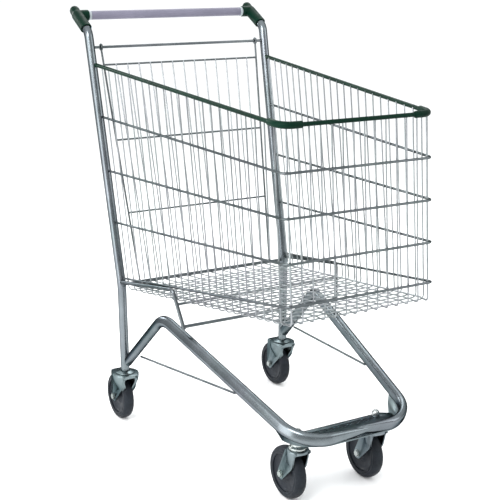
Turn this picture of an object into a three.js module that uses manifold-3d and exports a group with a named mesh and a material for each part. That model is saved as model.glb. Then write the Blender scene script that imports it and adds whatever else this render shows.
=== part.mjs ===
// A nesting supermarket trolley: a welded steel frame on four swivel casters, a tapered basket of
// welded wire, a green plastic rim and handle brackets, and a rear gate that swings up when trolleys nest.
// Millimetres. +Z is up, the front of the trolley is at -Y and the person pushing stands at +Y.
// The origin is on the ground, below the centre of the trolley. Dimensions along Y are given before
// the whole is moved by CENTRING.
import * as THREE from "three";
import { mergeVertices } from "three/addons/utils/BufferGeometryUtils.js";
import Module from "manifold-3d";

const wasm = await Module();
wasm.setup();

// ---- Driving dimensions -------------------------------------------------------------------

const GAP = 0.3; // between separate pieces that touch
const CENTRING = 9.8; // moves the whole forward or back so that its box is centred on Y = 0

// Uprights: two bent tubes from the rear casters to the handle
const UPRIGHT_RADIUS = 11;
const TUBE_WALL = 1.5;
const UPRIGHT_FOOT = { x: 237, y: 226, z: 140 };
const UPRIGHT_BEND_Z = 364;
const UPRIGHT_LEAN = THREE.MathUtils.degToRad(12);
const UPRIGHT_SPLAY = 0.011; // sideways, per mm of height
const UPPER_SPLAY = 0.007; // added above the bend
const UPRIGHT_TOP_BEND_Z = 984;
const UPRIGHT_TOP_LEAN = THREE.MathUtils.degToRad(59);
const UPRIGHT_TOP_LENGTH = 40; // beyond the vertex of the top bend
const LOWER_BEND_RADIUS = 150;
const TOP_BEND_RADIUS = 34;

// Handle
const HANDLE_Y = 423;
const HANDLE_Z = 1020;
const HANDLE_TUBE_RADIUS = 8.5;
const HANDLE_TUBE_HALF = 239;
const GRIP_RADIUS = 11;
const GRIP_HALF = 216;
const RING_RADIUS = 12;
const COLLAR_RADIUS = 14;
const COLLAR_END_X = 223;
const BRACKET_RADIUS = 14.5;
const BRACKET_TIP = { y: 441, z: 1031, radius: 12.5 };

// Basket: hoops run from the uprights forward, round the front and back again
const FRONT_HALF = 185; // half the basket's width at its front corners
const FRONT_FOOT = { y: -461, z: 484 };
const FRONT_LEAN = 0.0716; // the front wall leans back by this much per mm of height
const RIM_CORNER_RADIUS = 28;
const HOOP_CORNER_RADIUS = 14;
const CORNER_SPLIT = 22; // where the side panels meet the front panel, from the corner
const RIM_WIRE_RADIUS = 3.2;
const SLEEVE_RADIUS = 4.7;
const HOOP_RADIUS = 2.75;
const WIRE_RADIUS = 1.6;
const RIM = { rear: 905, front: 845, radius: SLEEVE_RADIUS };
const HOOPS = [
  { rear: 780, front: 752, radius: HOOP_RADIUS },
  { rear: 649, front: 662, radius: HOOP_RADIUS },
  { rear: 523, front: 571, radius: HOOP_RADIUS },
  { rear: 386, front: 484, radius: HOOP_RADIUS },
];
const FLOOR = { rear: 362, front: 447, radius: WIRE_RADIUS };
const FLOOR_REAR_Y = 222;
const FLOOR_FRONT_Y = -452;
const FLOOR_REAR_HALF = 224;
const FLOOR_FRONT_HALF = 170;
const SIDE_WIRES = 12;
const FRONT_WIRES = 12;
const FRONT_WIRE_PITCH = 26.8;
const FLOOR_LONG_WIRES = 7;
const FLOOR_CROSS_WIRES = 11;
const BUMPER_RADIUS = 7.5;
const BUMPER_LENGTH = 46; // how far a corner bumper runs along each wall

// Gate, which hangs from its own rod between the uprights
const HINGE_Z = 946;
const HINGE_ROD_RADIUS = 3.25;
const GATE_LOOP_BORE = 4.1;
const GATE_WIRE_RADIUS = 2.4;
const GATE_TOP_HALF = 222;
const GATE_FOOT = { half: 191.5, y: 222, z: 371.5 };
const GATE_RAILS = [903, 720, 541];
const GATE_WIRES = 13;

// Chassis: one flat oval tube from the left rear caster round the front to the right one
const OVAL_WIDTH = 19;
const OVAL_HEIGHT = 28;
const CHASSIS_REAR = { x: 234, y: 212.5, z: 167.5 };
const CHASSIS_APEX = { x: 217, y: 42, z: 328 };
const CHASSIS_CORNER = { x: 147, y: -463, z: 178.5 };
const APEX_RADIUS = 60;
const BOW_RADIUS = 85;

// Struts, rails and rods
const RAIL_RADIUS = 4.5;
const STRUT_TOP = { x: 229, y: -37, z: 420.5 };
const STRUT_FOOT = { x: 213, y: -61, z: 327.6 };
const RAIL_DROP = 9.5; // below the lowest hoop
const RAIL_OUTSET = 4; // outside the lowest hoop, clear of the side wires
const CROSS_ROD_RADIUS = 4;
const FLOOR_ROD = { radius: 3.25, share: 0.37 }; // share of the way down the struts
const REAR_ROD = { radius: 4, y: 228, z: 367 };
const TIE_RADIUS = 2.6;
const TIE_REAR = { x: 227, y: 150, z: 198 };
const TIE_FRONT = { x: 178, y: -236, z: 223.6 };

// Casters. A fork's front and rear are measured from its swivel axis, and its crown from the ground.
const WHEEL_RADIUS = 60;
const WHEEL_SIDES = 20;
const TREAD_HALF = 14;
const TYRE_BORE = 43;
const AXLE_RADIUS = 4;
const FORK_INSIDE = 17.2;
const FORK_SHEET = 2.5;
const FORK_TIP = 13; // round the axle
const SKIRT_DEPTH = 24; // of the crown's tapered skirt
const FRONT_LIP = 15; // how far the skirt comes down in front
const REAR_CASTER = { x: 237, y: 226, trail: 35, crown: 134, crownRadius: 34, front: -36, rear: 46 };
const FRONT_CASTER = { x: 104, y: -379, trail: 38, crown: 130, crownRadius: 25, front: -23, rear: 20 };
const KINGPIN_RADIUS = 5;
const PLATE_Z = 158; // underside of the plate that carries the front casters
const PLATE_SHEET = 3.5;
const PLATE_REAR_Y = -368;
const PLATE_INSET = 3; // of the plate's edge inside the bow's centre line
const PLATE_REAR_CUT = 18; // off each rear corner
const PLATE_NOTCH = { halfWidth: 55, depth: 26 }; // in the middle of its front edge
const SKIRT_END = 30; // how far the skirt runs along the bow from its corner

// ---- Materials ----------------------------------------------------------------------------

const ZINC = { color: 0xb9c0c3, roughness: 0.32, metalness: 1 };
const WIRE_ZINC = { color: 0xc4cacc, roughness: 0.35, metalness: 1 };
const PRESSED_ZINC = { color: 0x9fa9ad, roughness: 0.45, metalness: 1 };
const GREEN = { color: 0x06482f, roughness: 0.4, metalness: 0 };
const LAVENDER = { color: 0x9a97ae, roughness: 0.45, metalness: 0 };
const PALE = { color: 0xd4d4d8, roughness: 0.5, metalness: 0 };
const TYRE_GREY = { color: 0x34363b, roughness: 0.6, metalness: 0 };
const HUB_GREY = { color: 0x4a4d52, roughness: 0.5, metalness: 0 };

const trolley = new THREE.Group();
trolley.position.y = CENTRING;

function add(name, geometry, look, parent = trolley) {
  const mesh = new THREE.Mesh(geometry, new THREE.MeshStandardMaterial(look));
  mesh.name = name;
  parent.add(mesh);
}

// ---- Joining and cutting ------------------------------------------------------------------

function toSolid(geometry) {
  const bare = geometry.clone();
  bare.deleteAttribute("normal");
  bare.deleteAttribute("uv");
  const merged = mergeVertices(bare, 1e-3);
  return new wasm.Manifold(
    new wasm.Mesh({
      numProp: 3,
      vertProperties: new Float32Array(merged.attributes.position.array),
      triVerts: new Uint32Array(merged.index.array),
    }),
  );
}

function toGeometry(solid) {
  const mesh = solid.getMesh();
  const geometry = new THREE.BufferGeometry();
  geometry.setAttribute("position", new THREE.BufferAttribute(mesh.vertProperties, 3));
  geometry.setIndex(new THREE.BufferAttribute(mesh.triVerts, 1));
  return geometry;
}

function join(geometries) {
  let whole = toSolid(geometries[0]);
  for (const geometry of geometries.slice(1)) {
    whole = whole.add(toSolid(geometry));
  }
  return toGeometry(whole);
}

function cut(geometry, tools) {
  let whole = toSolid(geometry);
  for (const tool of tools) {
    whole = whole.subtract(toSolid(tool));
  }
  return toGeometry(whole);
}

// ---- Sections and sweeps ------------------------------------------------------------------

const vec = (x, y, z) => new THREE.Vector3(x, y, z);
const mix = (a, b, t) => a + (b - a) * t;

// A regular polygon whose flats lie at the given radius
function polygon(radius, sides) {
  const corner = radius / Math.cos(Math.PI / sides);
  const points = [];
  for (let k = 0; k < sides; k += 1) {
    const angle = ((k + 0.5) * 2 * Math.PI) / sides;
    points.push(new THREE.Vector2(corner * Math.cos(angle), corner * Math.sin(angle)));
  }
  return points;
}

// A slot shape, taller than wide, with half-round ends
function stadium(width, height, steps) {
  const radius = width / 2;
  const straight = (height - width) / 2;
  const points = [];
  for (const end of [1, -1]) {
    for (let k = 0; k <= steps; k += 1) {
      const angle = (k * Math.PI) / steps;
      const x = end * radius * Math.cos(angle);
      const y = end * (straight + radius * Math.sin(angle));
      points.push(new THREE.Vector2(x, y));
    }
  }
  return points;
}

function section(outline, bore) {
  const shape = new THREE.Shape(outline);
  if (bore) {
    shape.holes.push(new THREE.Path(bore));
  }
  return shape;
}

// A line through corners that are rounded to a radius, with a station at each end of every
// bend and at equal angles within it, so that straight stretches cost nothing.
class BentLine extends THREE.Curve {
  constructor(corners, radii, turn = Math.PI / 8) {
    super();
    this.stations = [];
    const last = corners.length - 1;
    const heading = (k) => corners[k + 1].clone().sub(corners[k]).normalize();
    this.stations.push({ point: corners[0], tangent: heading(0) });
    for (let k = 1; k < last; k += 1) {
      const before = heading(k - 1);
      const after = heading(k);
      const angle = before.angleTo(after);
      const radius = Array.isArray(radii) ? radii[k - 1] : radii;
      const start = corners[k].clone().addScaledVector(before, -radius * Math.tan(angle / 2));
      const inward = after.clone().addScaledVector(before, -before.dot(after)).normalize();
      const steps = Math.max(1, Math.ceil(angle / turn));
      for (let j = 0; j <= steps; j += 1) {
        const a = (angle * j) / steps;
        const point = start.clone();
        point.addScaledVector(before, radius * Math.sin(a));
        point.addScaledVector(inward, radius * (1 - Math.cos(a)));
        const tangent = before.clone().multiplyScalar(Math.cos(a));
        tangent.addScaledVector(inward, Math.sin(a));
        this.stations.push({ point, tangent });
      }
    }
    this.stations.push({ point: corners[last], tangent: heading(last - 1) });
  }

  get steps() {
    return this.stations.length - 1;
  }

  station(t) {
    return this.stations[Math.round(t * this.steps)];
  }

  getPointAt(t) {
    return this.station(t).point.clone();
  }

  getTangentAt(t) {
    return this.station(t).tangent.clone();
  }
}

function sweep(shape, line) {
  const options = { steps: line.steps, extrudePath: line, bevelEnabled: false };
  return new THREE.ExtrudeGeometry(shape, options);
}

function rod(from, to, radius, sides = 8) {
  return sweep(section(polygon(radius, sides)), new BentLine([from, to], 0));
}

function bentRod(corners, bend, radius, sides = 8, turn = Math.PI / 6) {
  return sweep(section(polygon(radius, sides)), new BentLine(corners, bend, turn));
}

// A turned solid with its axis along Z, from [radius, z] pairs in order of rising z.
// The radius is that of the flats, and one flat faces each side of the X and Y axes.
function turned(profile, sides) {
  const grow = 1 / Math.cos(Math.PI / sides);
  const points = profile.map(([radius, z]) => new THREE.Vector2(radius * grow, z));
  return new THREE.LatheGeometry(points, sides, Math.PI / sides).rotateX(Math.PI / 2);
}

// The same with its axis along X
function turnedX(profile, sides) {
  return turned(profile, sides).rotateY(Math.PI / 2);
}

// Sheet metal with the given outline in Y and Z, its low side at x
function sheetYZ(outline, thickness, x) {
  const shape = new THREE.Shape(outline.map(([y, z]) => new THREE.Vector2(y, z)));
  const geometry = new THREE.ExtrudeGeometry(shape, { depth: thickness, bevelEnabled: false });
  return geometry.rotateX(Math.PI / 2).rotateZ(Math.PI / 2).translate(x, 0, 0);
}

function block(width, depth, height, x, y, z) {
  return new THREE.BoxGeometry(width, depth, height).translate(x, y, z);
}

// ---- Places on the frame and the basket ---------------------------------------------------

const wallX = (z) => UPRIGHT_FOOT.x + UPRIGHT_SPLAY * (z - UPRIGHT_FOOT.z);
const uprightX = (z) => wallX(z) + UPPER_SPLAY * Math.max(0, z - UPRIGHT_BEND_Z);
const uprightY = (z) => UPRIGHT_FOOT.y + Math.tan(UPRIGHT_LEAN) * Math.max(0, z - UPRIGHT_BEND_Z);
const frontY = (z) => FRONT_FOOT.y + FRONT_LEAN * (z - FRONT_FOOT.z);

const HINGE_Y = uprightY(HINGE_Z);

// From an upright's centre line to a piece in front of it, measured level
const UPRIGHT_CLEARANCE = UPRIGHT_RADIUS / Math.cos(Math.PI / 12) / Math.cos(UPRIGHT_LEAN) + GAP;

// A hoop's line along one side wall: its end on the upright, and its front corner
function sideLine(side, level) {
  const lead = UPRIGHT_CLEARANCE + 1.5 * level.radius * Math.tan(UPRIGHT_LEAN);
  const rear = vec(side * wallX(level.rear), uprightY(level.rear) - lead, level.rear);
  const corner = vec(side * FRONT_HALF, frontY(level.front), level.front);
  return { rear, corner, length: rear.distanceTo(corner) };
}

// The point a given share of the way from the upright to the front corner
function sidePoint(side, level, share) {
  const { rear, corner } = sideLine(side, level);
  return rear.clone().lerp(corner, share);
}

const splitShare = (side, level, past) => 1 - (CORNER_SPLIT + past) / sideLine(side, level).length;

// ---- Frame --------------------------------------------------------------------------------

function upright(side) {
  const topX = uprightX(UPRIGHT_TOP_BEND_Z);
  const bendY = uprightY(UPRIGHT_TOP_BEND_Z);
  const corners = [
    vec(side * UPRIGHT_FOOT.x, UPRIGHT_FOOT.y, UPRIGHT_FOOT.z + GAP),
    vec(side * uprightX(UPRIGHT_BEND_Z), UPRIGHT_FOOT.y, UPRIGHT_BEND_Z),
    vec(side * topX, bendY, UPRIGHT_TOP_BEND_Z),
    vec(
      side * topX,
      bendY + UPRIGHT_TOP_LENGTH * Math.sin(UPRIGHT_TOP_LEAN),
      UPRIGHT_TOP_BEND_Z + UPRIGHT_TOP_LENGTH * Math.cos(UPRIGHT_TOP_LEAN),
    ),
  ];
  const line = new BentLine(corners, [LOWER_BEND_RADIUS, TOP_BEND_RADIUS], Math.PI / 20);
  const outline = polygon(UPRIGHT_RADIUS, 12);
  return sweep(section(outline, polygon(UPRIGHT_RADIUS - TUBE_WALL, 12)), line);
}

function chassisTube() {
  const half = [CHASSIS_REAR, CHASSIS_APEX, CHASSIS_CORNER];
  const left = half.map((p) => vec(p.x, p.y, p.z));
  const right = half.map((p) => vec(-p.x, p.y, p.z)).reverse();
  const radii = [APEX_RADIUS, BOW_RADIUS, BOW_RADIUS, APEX_RADIUS];
  const line = new BentLine([...left, ...right], radii, Math.PI / 12);
  const inner = stadium(OVAL_WIDTH - 2 * TUBE_WALL, OVAL_HEIGHT - 2 * TUBE_WALL, 5);
  return sweep(section(stadium(OVAL_WIDTH, OVAL_HEIGHT, 5), inner), line);
}

// The tube is trimmed where it meets the front of each upright
function chassis() {
  const trims = [1, -1].map((side) => {
    const { x, y, z } = UPRIGHT_FOOT;
    return rod(vec(side * x, y, z - 60), vec(side * x, y, z + 160), UPRIGHT_RADIUS + GAP, 12);
  });
  return cut(chassisTube(), trims);
}

// A rod under the lowest hoop, bent down at its front end to stand on the chassis
function supportRail(side) {
  const z = HOOPS[3].rear - RAIL_DROP;
  const rear = vec(side * (uprightX(z) + RAIL_OUTSET), uprightY(z) - UPRIGHT_CLEARANCE - 1, z);
  const top = vec(side * STRUT_TOP.x, STRUT_TOP.y, STRUT_TOP.z);
  const foot = vec(side * STRUT_FOOT.x, STRUT_FOOT.y, STRUT_FOOT.z);
  return bentRod([rear, top, foot], 14, RAIL_RADIUS);
}

// A rod from side to side, centred on x = 0
function crossRod(half, y, z, radius) {
  return rod(vec(half, y, z), vec(-half, y, z), radius);
}

// The plate's edge in plan, from behind one corner of the bow to a little past it
function platePlan(side, z) {
  const slope = (CHASSIS_APEX.x - CHASSIS_CORNER.x) / (CHASSIS_APEX.y - CHASSIS_CORNER.y);
  const cornerX = CHASSIS_CORNER.x - PLATE_INSET;
  const cornerY = CHASSIS_CORNER.y + PLATE_INSET;
  const corners = [
    vec(side * (cornerX + slope * (PLATE_REAR_Y - cornerY)), PLATE_REAR_Y, z),
    vec(side * cornerX, cornerY, z),
    vec(side * (cornerX - BOW_RADIUS - SKIRT_END), cornerY, z),
  ];
  return new BentLine(corners, BOW_RADIUS - PLATE_INSET, Math.PI / 12);
}

// A sheet under the front bow that carries both front casters, notched in the middle, with a
// skirt round each corner that rises to the underside of the bow and slopes away behind
function frontPlate() {
  const plan = platePlan(1, 0).stations.map(({ point }) => new THREE.Vector2(point.x, point.y));
  const [corner, ...edge] = plan;
  const forward = edge[0].clone().sub(corner).normalize();
  const left = [
    new THREE.Vector2(corner.x - PLATE_REAR_CUT, corner.y),
    corner.clone().addScaledVector(forward, PLATE_REAR_CUT),
    ...edge,
  ];
  const right = left.map((p) => new THREE.Vector2(-p.x, p.y)).reverse();
  const outline = new THREE.Shape([...left, ...right]);
  const plate = new THREE.ExtrudeGeometry(outline, { depth: PLATE_SHEET, bevelEnabled: false });
  plate.translate(0, 0, PLATE_Z);
  const height = 80;
  const wall = section([
    new THREE.Vector2(-height / 2, -PLATE_SHEET / 2),
    new THREE.Vector2(height / 2, -PLATE_SHEET / 2),
    new THREE.Vector2(height / 2, PLATE_SHEET / 2),
    new THREE.Vector2(-height / 2, PLATE_SHEET / 2),
  ]);
  const skirts = [1, -1].map((side) => sweep(wall, platePlan(side, PLATE_Z + height / 2)));
  const pitch = Math.atan2(
    CHASSIS_APEX.z - CHASSIS_CORNER.z,
    CHASSIS_APEX.y - CHASSIS_CORNER.y,
  );
  const above = block(500, 400, height, 0, 0, height / 2 - OVAL_HEIGHT / 2 - GAP);
  above.rotateX(pitch).translate(0, CHASSIS_CORNER.y, CHASSIS_CORNER.z);
  const behind = sheetYZ(
    [
      [PLATE_REAR_Y - 24, PLATE_Z],
      [PLATE_REAR_Y + 10, PLATE_Z],
      [PLATE_REAR_Y + 10, PLATE_Z + height],
      [PLATE_REAR_Y, PLATE_Z + 26],
    ],
    500,
    -250,
  );
  const { halfWidth, depth } = PLATE_NOTCH;
  const notchY = CHASSIS_CORNER.y + depth - height / 2;
  const notch = block(2 * halfWidth, height, height, 0, notchY, PLATE_Z);
  const holes = [1, -1].map((side) => {
    const { x, y } = FRONT_CASTER;
    return rod(vec(side * x, y, PLATE_Z - 5), vec(side * x, y, PLATE_Z + 10), KINGPIN_RADIUS + GAP);
  });
  const trimmed = skirts.map((skirt) => cut(skirt, [behind]));
  return cut(join([plate, ...trimmed]), [above, notch, ...holes]);
}

// ---- Casters ------------------------------------------------------------------------------

// The front edge of a fork's sides, in Y and Z with the swivel axis at y = 0: down from the
// crown's lip, then back to the axle
function forkFront({ trail, crown, front }) {
  return [
    [front, crown - FRONT_LIP],
    [mix(front, trail - FORK_TIP, 0.62), WHEEL_RADIUS + 18],
    [trail - FORK_TIP, WHEEL_RADIUS - 5],
  ];
}

function forkSide(caster) {
  const { trail, crown, front, rear } = caster;
  const outline = [[front, crown], ...forkFront(caster)];
  for (let k = 1; k <= 6; k += 1) {
    const angle = Math.PI + (k * Math.PI) / 6;
    const y = trail + FORK_TIP * Math.cos(angle);
    outline.push([y, WHEEL_RADIUS + FORK_TIP * Math.sin(angle)]);
  }
  outline.push([rear, crown - 5], [rear - 6, crown]);
  return outline;
}

// A round crown whose tapered skirt, open in front and behind, runs down into two flat sides
function fork(caster) {
  const { trail, crown, crownRadius, front, rear } = caster;
  const width = 2 * (FORK_INSIDE + FORK_SHEET);
  const low = crown - SKIRT_DEPTH;
  const under = crown - FORK_SHEET;
  const foot = FORK_INSIDE + FORK_SHEET / 2;
  const outside = turned(
    [
      [0, low],
      [foot, low],
      [crownRadius, under],
      [crownRadius, crown],
      [0, crown],
    ],
    20,
  );
  const inside = turned(
    [
      [0, low - 1],
      [foot - FORK_SHEET, low - 1],
      [crownRadius - FORK_SHEET, under],
      [0, under],
    ],
    20,
  );
  const ahead = [[-80, crown - FRONT_LIP], ...forkFront(caster), [trail - FORK_TIP, 0], [-80, 0]];
  const slot = block(2 * FORK_INSIDE + FORK_SHEET, 100, under, 0, 50, under / 2);
  const skirt = cut(outside, [inside, slot, sheetYZ(ahead, 200, -100)]);
  const sides = [FORK_INSIDE, -FORK_INSIDE - FORK_SHEET].map((x) =>
    cut(sheetYZ(forkSide(caster), FORK_SHEET, x), [inside]),
  );
  const back = rear - 6;
  const top = block(width, back - front, FORK_SHEET, 0, (back + front) / 2, crown - FORK_SHEET / 2);
  const kingpin = rod(vec(0, 0, crown - 10), vec(0, 0, crown + 10), KINGPIN_RADIUS + 2 * GAP);
  const axle = rod(
    vec(-width, trail, WHEEL_RADIUS),
    vec(width, trail, WHEEL_RADIUS),
    AXLE_RADIUS + GAP,
  );
  return cut(join([skirt, top, ...sides]), [kingpin, axle]);
}

// The fixed half of the swivel: a headed kingpin through the fork's crown, a bearing cup above
// it, and above that a stem that plugs an upright or a pin that goes through the front plate
function swivelHead({ crown }, upper) {
  const below = crown - FORK_SHEET - GAP;
  const above = crown + GAP;
  return turned(
    [
      [0, below - 3],
      [8, below - 3],
      [8, below],
      [KINGPIN_RADIUS, below],
      [KINGPIN_RADIUS, above],
      ...upper,
    ],
    12,
  );
}

function rearHead() {
  const above = REAR_CASTER.crown + GAP;
  const stem = UPRIGHT_RADIUS - TUBE_WALL - 4 * GAP;
  const top = UPRIGHT_FOOT.z;
  return swivelHead(REAR_CASTER, [
    [24, above],
    [24, above + 2],
    [14, top],
    [stem, top],
    [stem, top + 34],
    [0, top + 34],
  ]);
}

function frontHead() {
  const above = FRONT_CASTER.crown + GAP;
  const top = PLATE_Z - GAP;
  return swivelHead(FRONT_CASTER, [
    [20, above],
    [20, above + 5],
    [14, above + 9],
    [14, top],
    [KINGPIN_RADIUS, top],
    [KINGPIN_RADIUS, PLATE_Z + PLATE_SHEET + 7],
    [0, PLATE_Z + PLATE_SHEET + 7],
  ]);
}

// A domed nut, open below, on top of the kingpin
function kingpinNut() {
  const seat = PLATE_Z + PLATE_SHEET + GAP;
  const bore = KINGPIN_RADIUS + GAP;
  return turned(
    [
      [0, seat + 7.5],
      [bore, seat + 7.5],
      [bore, seat],
      [9, seat],
      [9, seat + 8.5],
      [6.5, seat + 13.5],
      [0, seat + 15],
    ],
    12,
  );
}

function tyre() {
  const flat = 6;
  const shoulder = WHEEL_RADIUS - 7;
  const points = [
    [TYRE_BORE, -TREAD_HALF],
    [shoulder, -TREAD_HALF],
    [WHEEL_RADIUS, -flat],
    [WHEEL_RADIUS, flat],
    [shoulder, TREAD_HALF],
    [TYRE_BORE, TREAD_HALF],
    [TYRE_BORE, -TREAD_HALF],
  ];
  return turnedX(points, WHEEL_SIDES);
}

function hub() {
  const rim = TYRE_BORE - GAP;
  const bore = AXLE_RADIUS + 2 * GAP;
  const points = [
    [bore, -TREAD_HALF],
    [15, -TREAD_HALF],
    [22, -5],
    [rim, -TREAD_HALF + 4],
    [rim, TREAD_HALF - 4],
    [22, 5],
    [15, TREAD_HALF],
    [bore, TREAD_HALF],
    [bore, -TREAD_HALF],
  ];
  return turnedX(points, WHEEL_SIDES);
}

// An axle bolt with its head and nut outside the fork
function axleBolt() {
  const seat = FORK_INSIDE + FORK_SHEET + GAP;
  const end = seat + 5;
  const head = 7;
  return turnedX(
    [
      [0, -end],
      [head, -end],
      [head, -seat],
      [AXLE_RADIUS, -seat],
      [AXLE_RADIUS, seat],
      [head, seat],
      [head, end],
      [0, end],
    ],
    8,
  );
}

function addCaster(place, side, caster, head) {
  const swivel = new THREE.Group();
  swivel.position.set(side * caster.x, caster.y, 0);
  const wheel = new THREE.Group();
  wheel.position.set(0, caster.trail, WHEEL_RADIUS);
  swivel.add(wheel);
  trolley.add(swivel);
  add(`caster_head_${place}`, head, PRESSED_ZINC, swivel);
  add(`fork_${place}`, fork(caster), PRESSED_ZINC, swivel);
  add(`axle_bolt_${place}`, axleBolt(), ZINC, wheel);
  add(`wheel_hub_${place}`, hub(), HUB_GREY, wheel);
  add(`tyre_${place}`, tyre(), TYRE_GREY, wheel);
}

// ---- Basket -------------------------------------------------------------------------------

// How far below the rim's centre line a wire ends, at a given distance from the corner
function underRim(toCorner) {
  const radius = toCorner < BUMPER_LENGTH + WIRE_RADIUS + GAP ? BUMPER_RADIUS : SLEEVE_RADIUS;
  return radius + 2 * GAP;
}

// One side wall: hoops outside, upright wires welded to their inner side, and a bottom wire
function basketSide(side) {
  const inset = HOOP_RADIUS + WIRE_RADIUS - 0.6;
  const wires = HOOPS.map((hoop) => {
    const end = splitShare(side, hoop, 0);
    return rod(sidePoint(side, hoop, 0), sidePoint(side, hoop, end), HOOP_RADIUS, 4);
  });
  const inner = (level, share) => sidePoint(side, level, share).add(vec(-side * inset, 0, 0));
  const first = 0.03;
  const last = splitShare(side, FLOOR, 8);
  wires.push(rod(inner(FLOOR, first - 0.012), inner(FLOOR, last + 0.006), WIRE_RADIUS, 4));
  for (let k = 0; k < SIDE_WIRES; k += 1) {
    const share = mix(first, last, k / (SIDE_WIRES - 1));
    const toCorner = (1 - share) * sideLine(side, RIM).length;
    const top = inner(RIM, share).sub(vec(0, 0, underRim(toCorner)));
    wires.push(rod(top, inner(FLOOR, share), WIRE_RADIUS, 4));
  }
  return join(wires);
}

// A hoop's run round the front, from one side panel to the other
function frontLine(level) {
  const ends = [1, -1].map((side) => sidePoint(side, level, splitShare(side, level, -GAP)));
  const corners = [1, -1].map((side) => sideLine(side, level).corner);
  return [ends[0], corners[0], corners[1], ends[1]];
}

function basketFront() {
  const inset = HOOP_RADIUS + WIRE_RADIUS - 0.6;
  const wires = HOOPS.map((hoop) => bentRod(frontLine(hoop), HOOP_CORNER_RADIUS, HOOP_RADIUS, 4));
  const inner = (x, z) => vec(x, frontY(z) + inset, z);
  const half = ((FRONT_WIRES - 1) / 2) * FRONT_WIRE_PITCH;
  const low = FLOOR.front;
  wires.push(rod(inner(half + 3, low), inner(-half - 3, low), WIRE_RADIUS, 4));
  for (let k = 0; k < FRONT_WIRES; k += 1) {
    const x = half - k * FRONT_WIRE_PITCH;
    const top = RIM.front - underRim(FRONT_HALF - Math.abs(x));
    wires.push(rod(inner(x, top), inner(x, low), WIRE_RADIUS, 4));
  }
  return join(wires);
}

// The floor rises to the front; cross wires lie under the long ones
function basketFloor() {
  const place = (across, along, drop) => {
    const half = mix(FLOOR_REAR_HALF, FLOOR_FRONT_HALF, along);
    const y = mix(FLOOR_REAR_Y, FLOOR_FRONT_Y, along);
    return vec(across * half, y, mix(FLOOR.rear, FLOOR.front, along) - drop);
  };
  const wires = [];
  for (let k = 0; k < FLOOR_LONG_WIRES; k += 1) {
    const across = mix(-0.98, 0.98, k / (FLOOR_LONG_WIRES - 1));
    wires.push(rod(place(across, 0, 0), place(across, 1, 0), WIRE_RADIUS, 4));
  }
  const drop = 2 * WIRE_RADIUS - 0.6;
  for (let k = 0; k < FLOOR_CROSS_WIRES; k += 1) {
    const along = mix(0.03, 0.985, k / (FLOOR_CROSS_WIRES - 1));
    wires.push(rod(place(-1, along, drop), place(1, along, drop), WIRE_RADIUS, 4));
  }
  return join(wires);
}

// ---- Rim ----------------------------------------------------------------------------------

const RIM_BEND_STEP = Math.PI / 10;

function rimWire() {
  const sides = [1, -1].map((side) => sideLine(side, RIM));
  const corners = [sides[0].rear, sides[0].corner, sides[1].corner, sides[1].rear];
  return bentRod(corners, RIM_CORNER_RADIUS, RIM_WIRE_RADIUS, 8, RIM_BEND_STEP);
}

function sleeveAlong(corners, radius) {
  const line = new BentLine(corners, RIM_CORNER_RADIUS, RIM_BEND_STEP);
  return sweep(section(polygon(radius, 8), polygon(RIM_WIRE_RADIUS + GAP, 8)), line);
}

const bumperShare = (side, past) => 1 - (BUMPER_LENGTH + past) / sideLine(side, RIM).length;

function rimSleeve(side) {
  const end = sidePoint(side, RIM, bumperShare(side, GAP));
  return sleeveAlong([sidePoint(side, RIM, 0), end], SLEEVE_RADIUS);
}

function frontSleeve() {
  const { y, z } = sideLine(1, RIM).corner;
  const half = FRONT_HALF - BUMPER_LENGTH - GAP;
  return sleeveAlong([vec(half, y, z), vec(-half, y, z)], SLEEVE_RADIUS);
}

function cornerBumper(side) {
  const { corner } = sideLine(side, RIM);
  const start = sidePoint(side, RIM, bumperShare(side, 0));
  const end = vec(side * (FRONT_HALF - BUMPER_LENGTH), corner.y, corner.z);
  return sleeveAlong([start, corner, end], BUMPER_RADIUS);
}

// ---- Handle -------------------------------------------------------------------------------

function pipe(from, to, outer, inner, sides = 12) {
  const bore = polygon(inner, sides);
  return sweep(section(polygon(outer, sides), bore), new BentLine([from, to], 0));
}

function handlePipe(from, to, outer, inner) {
  return pipe(vec(from, HANDLE_Y, HANDLE_Z), vec(to, HANDLE_Y, HANDLE_Z), outer, inner);
}

function ball(centre, radius) {
  return new THREE.SphereGeometry(radius, 12, 8).translate(centre.x, centre.y, centre.z);
}

// A moulded bracket: a socket over the upright's end, a collar over the handle tube's end,
// and a rounded horn behind
function handleBracket(side) {
  const x = side * uprightX(UPRIGHT_TOP_BEND_Z);
  const along = vec(0, Math.sin(UPRIGHT_TOP_LEAN), Math.cos(UPRIGHT_TOP_LEAN));
  const bend = vec(x, uprightY(UPRIGHT_TOP_BEND_Z), UPRIGHT_TOP_BEND_Z);
  const end = bend.clone().addScaledVector(along, UPRIGHT_TOP_LENGTH);
  const mouth = end.clone().addScaledVector(along, -22);
  const crossing = vec(x, HANDLE_Y, HANDLE_Z);
  const tip = vec(x, BRACKET_TIP.y, BRACKET_TIP.z);
  const collarEnd = vec(side * COLLAR_END_X, HANDLE_Y, HANDLE_Z);
  const body = join([
    rod(mouth, crossing, BRACKET_RADIUS, 12),
    ball(crossing, BRACKET_RADIUS),
    rod(crossing, tip, BRACKET_TIP.radius, 12),
    ball(tip, BRACKET_TIP.radius),
    rod(crossing, collarEnd, COLLAR_RADIUS, 12),
  ]);
  const socket = rod(
    mouth.clone().addScaledVector(along, -5),
    end.clone().addScaledVector(along, GAP),
    UPRIGHT_RADIUS + GAP,
    12,
  );
  const tubeBore = rod(
    vec(side * (HANDLE_TUBE_HALF + GAP), HANDLE_Y, HANDLE_Z),
    vec(side * (COLLAR_END_X - 5), HANDLE_Y, HANDLE_Z),
    HANDLE_TUBE_RADIUS + GAP,
    12,
  );
  return cut(body, [socket, tubeBore]);
}

// ---- Gate ---------------------------------------------------------------------------------

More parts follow.
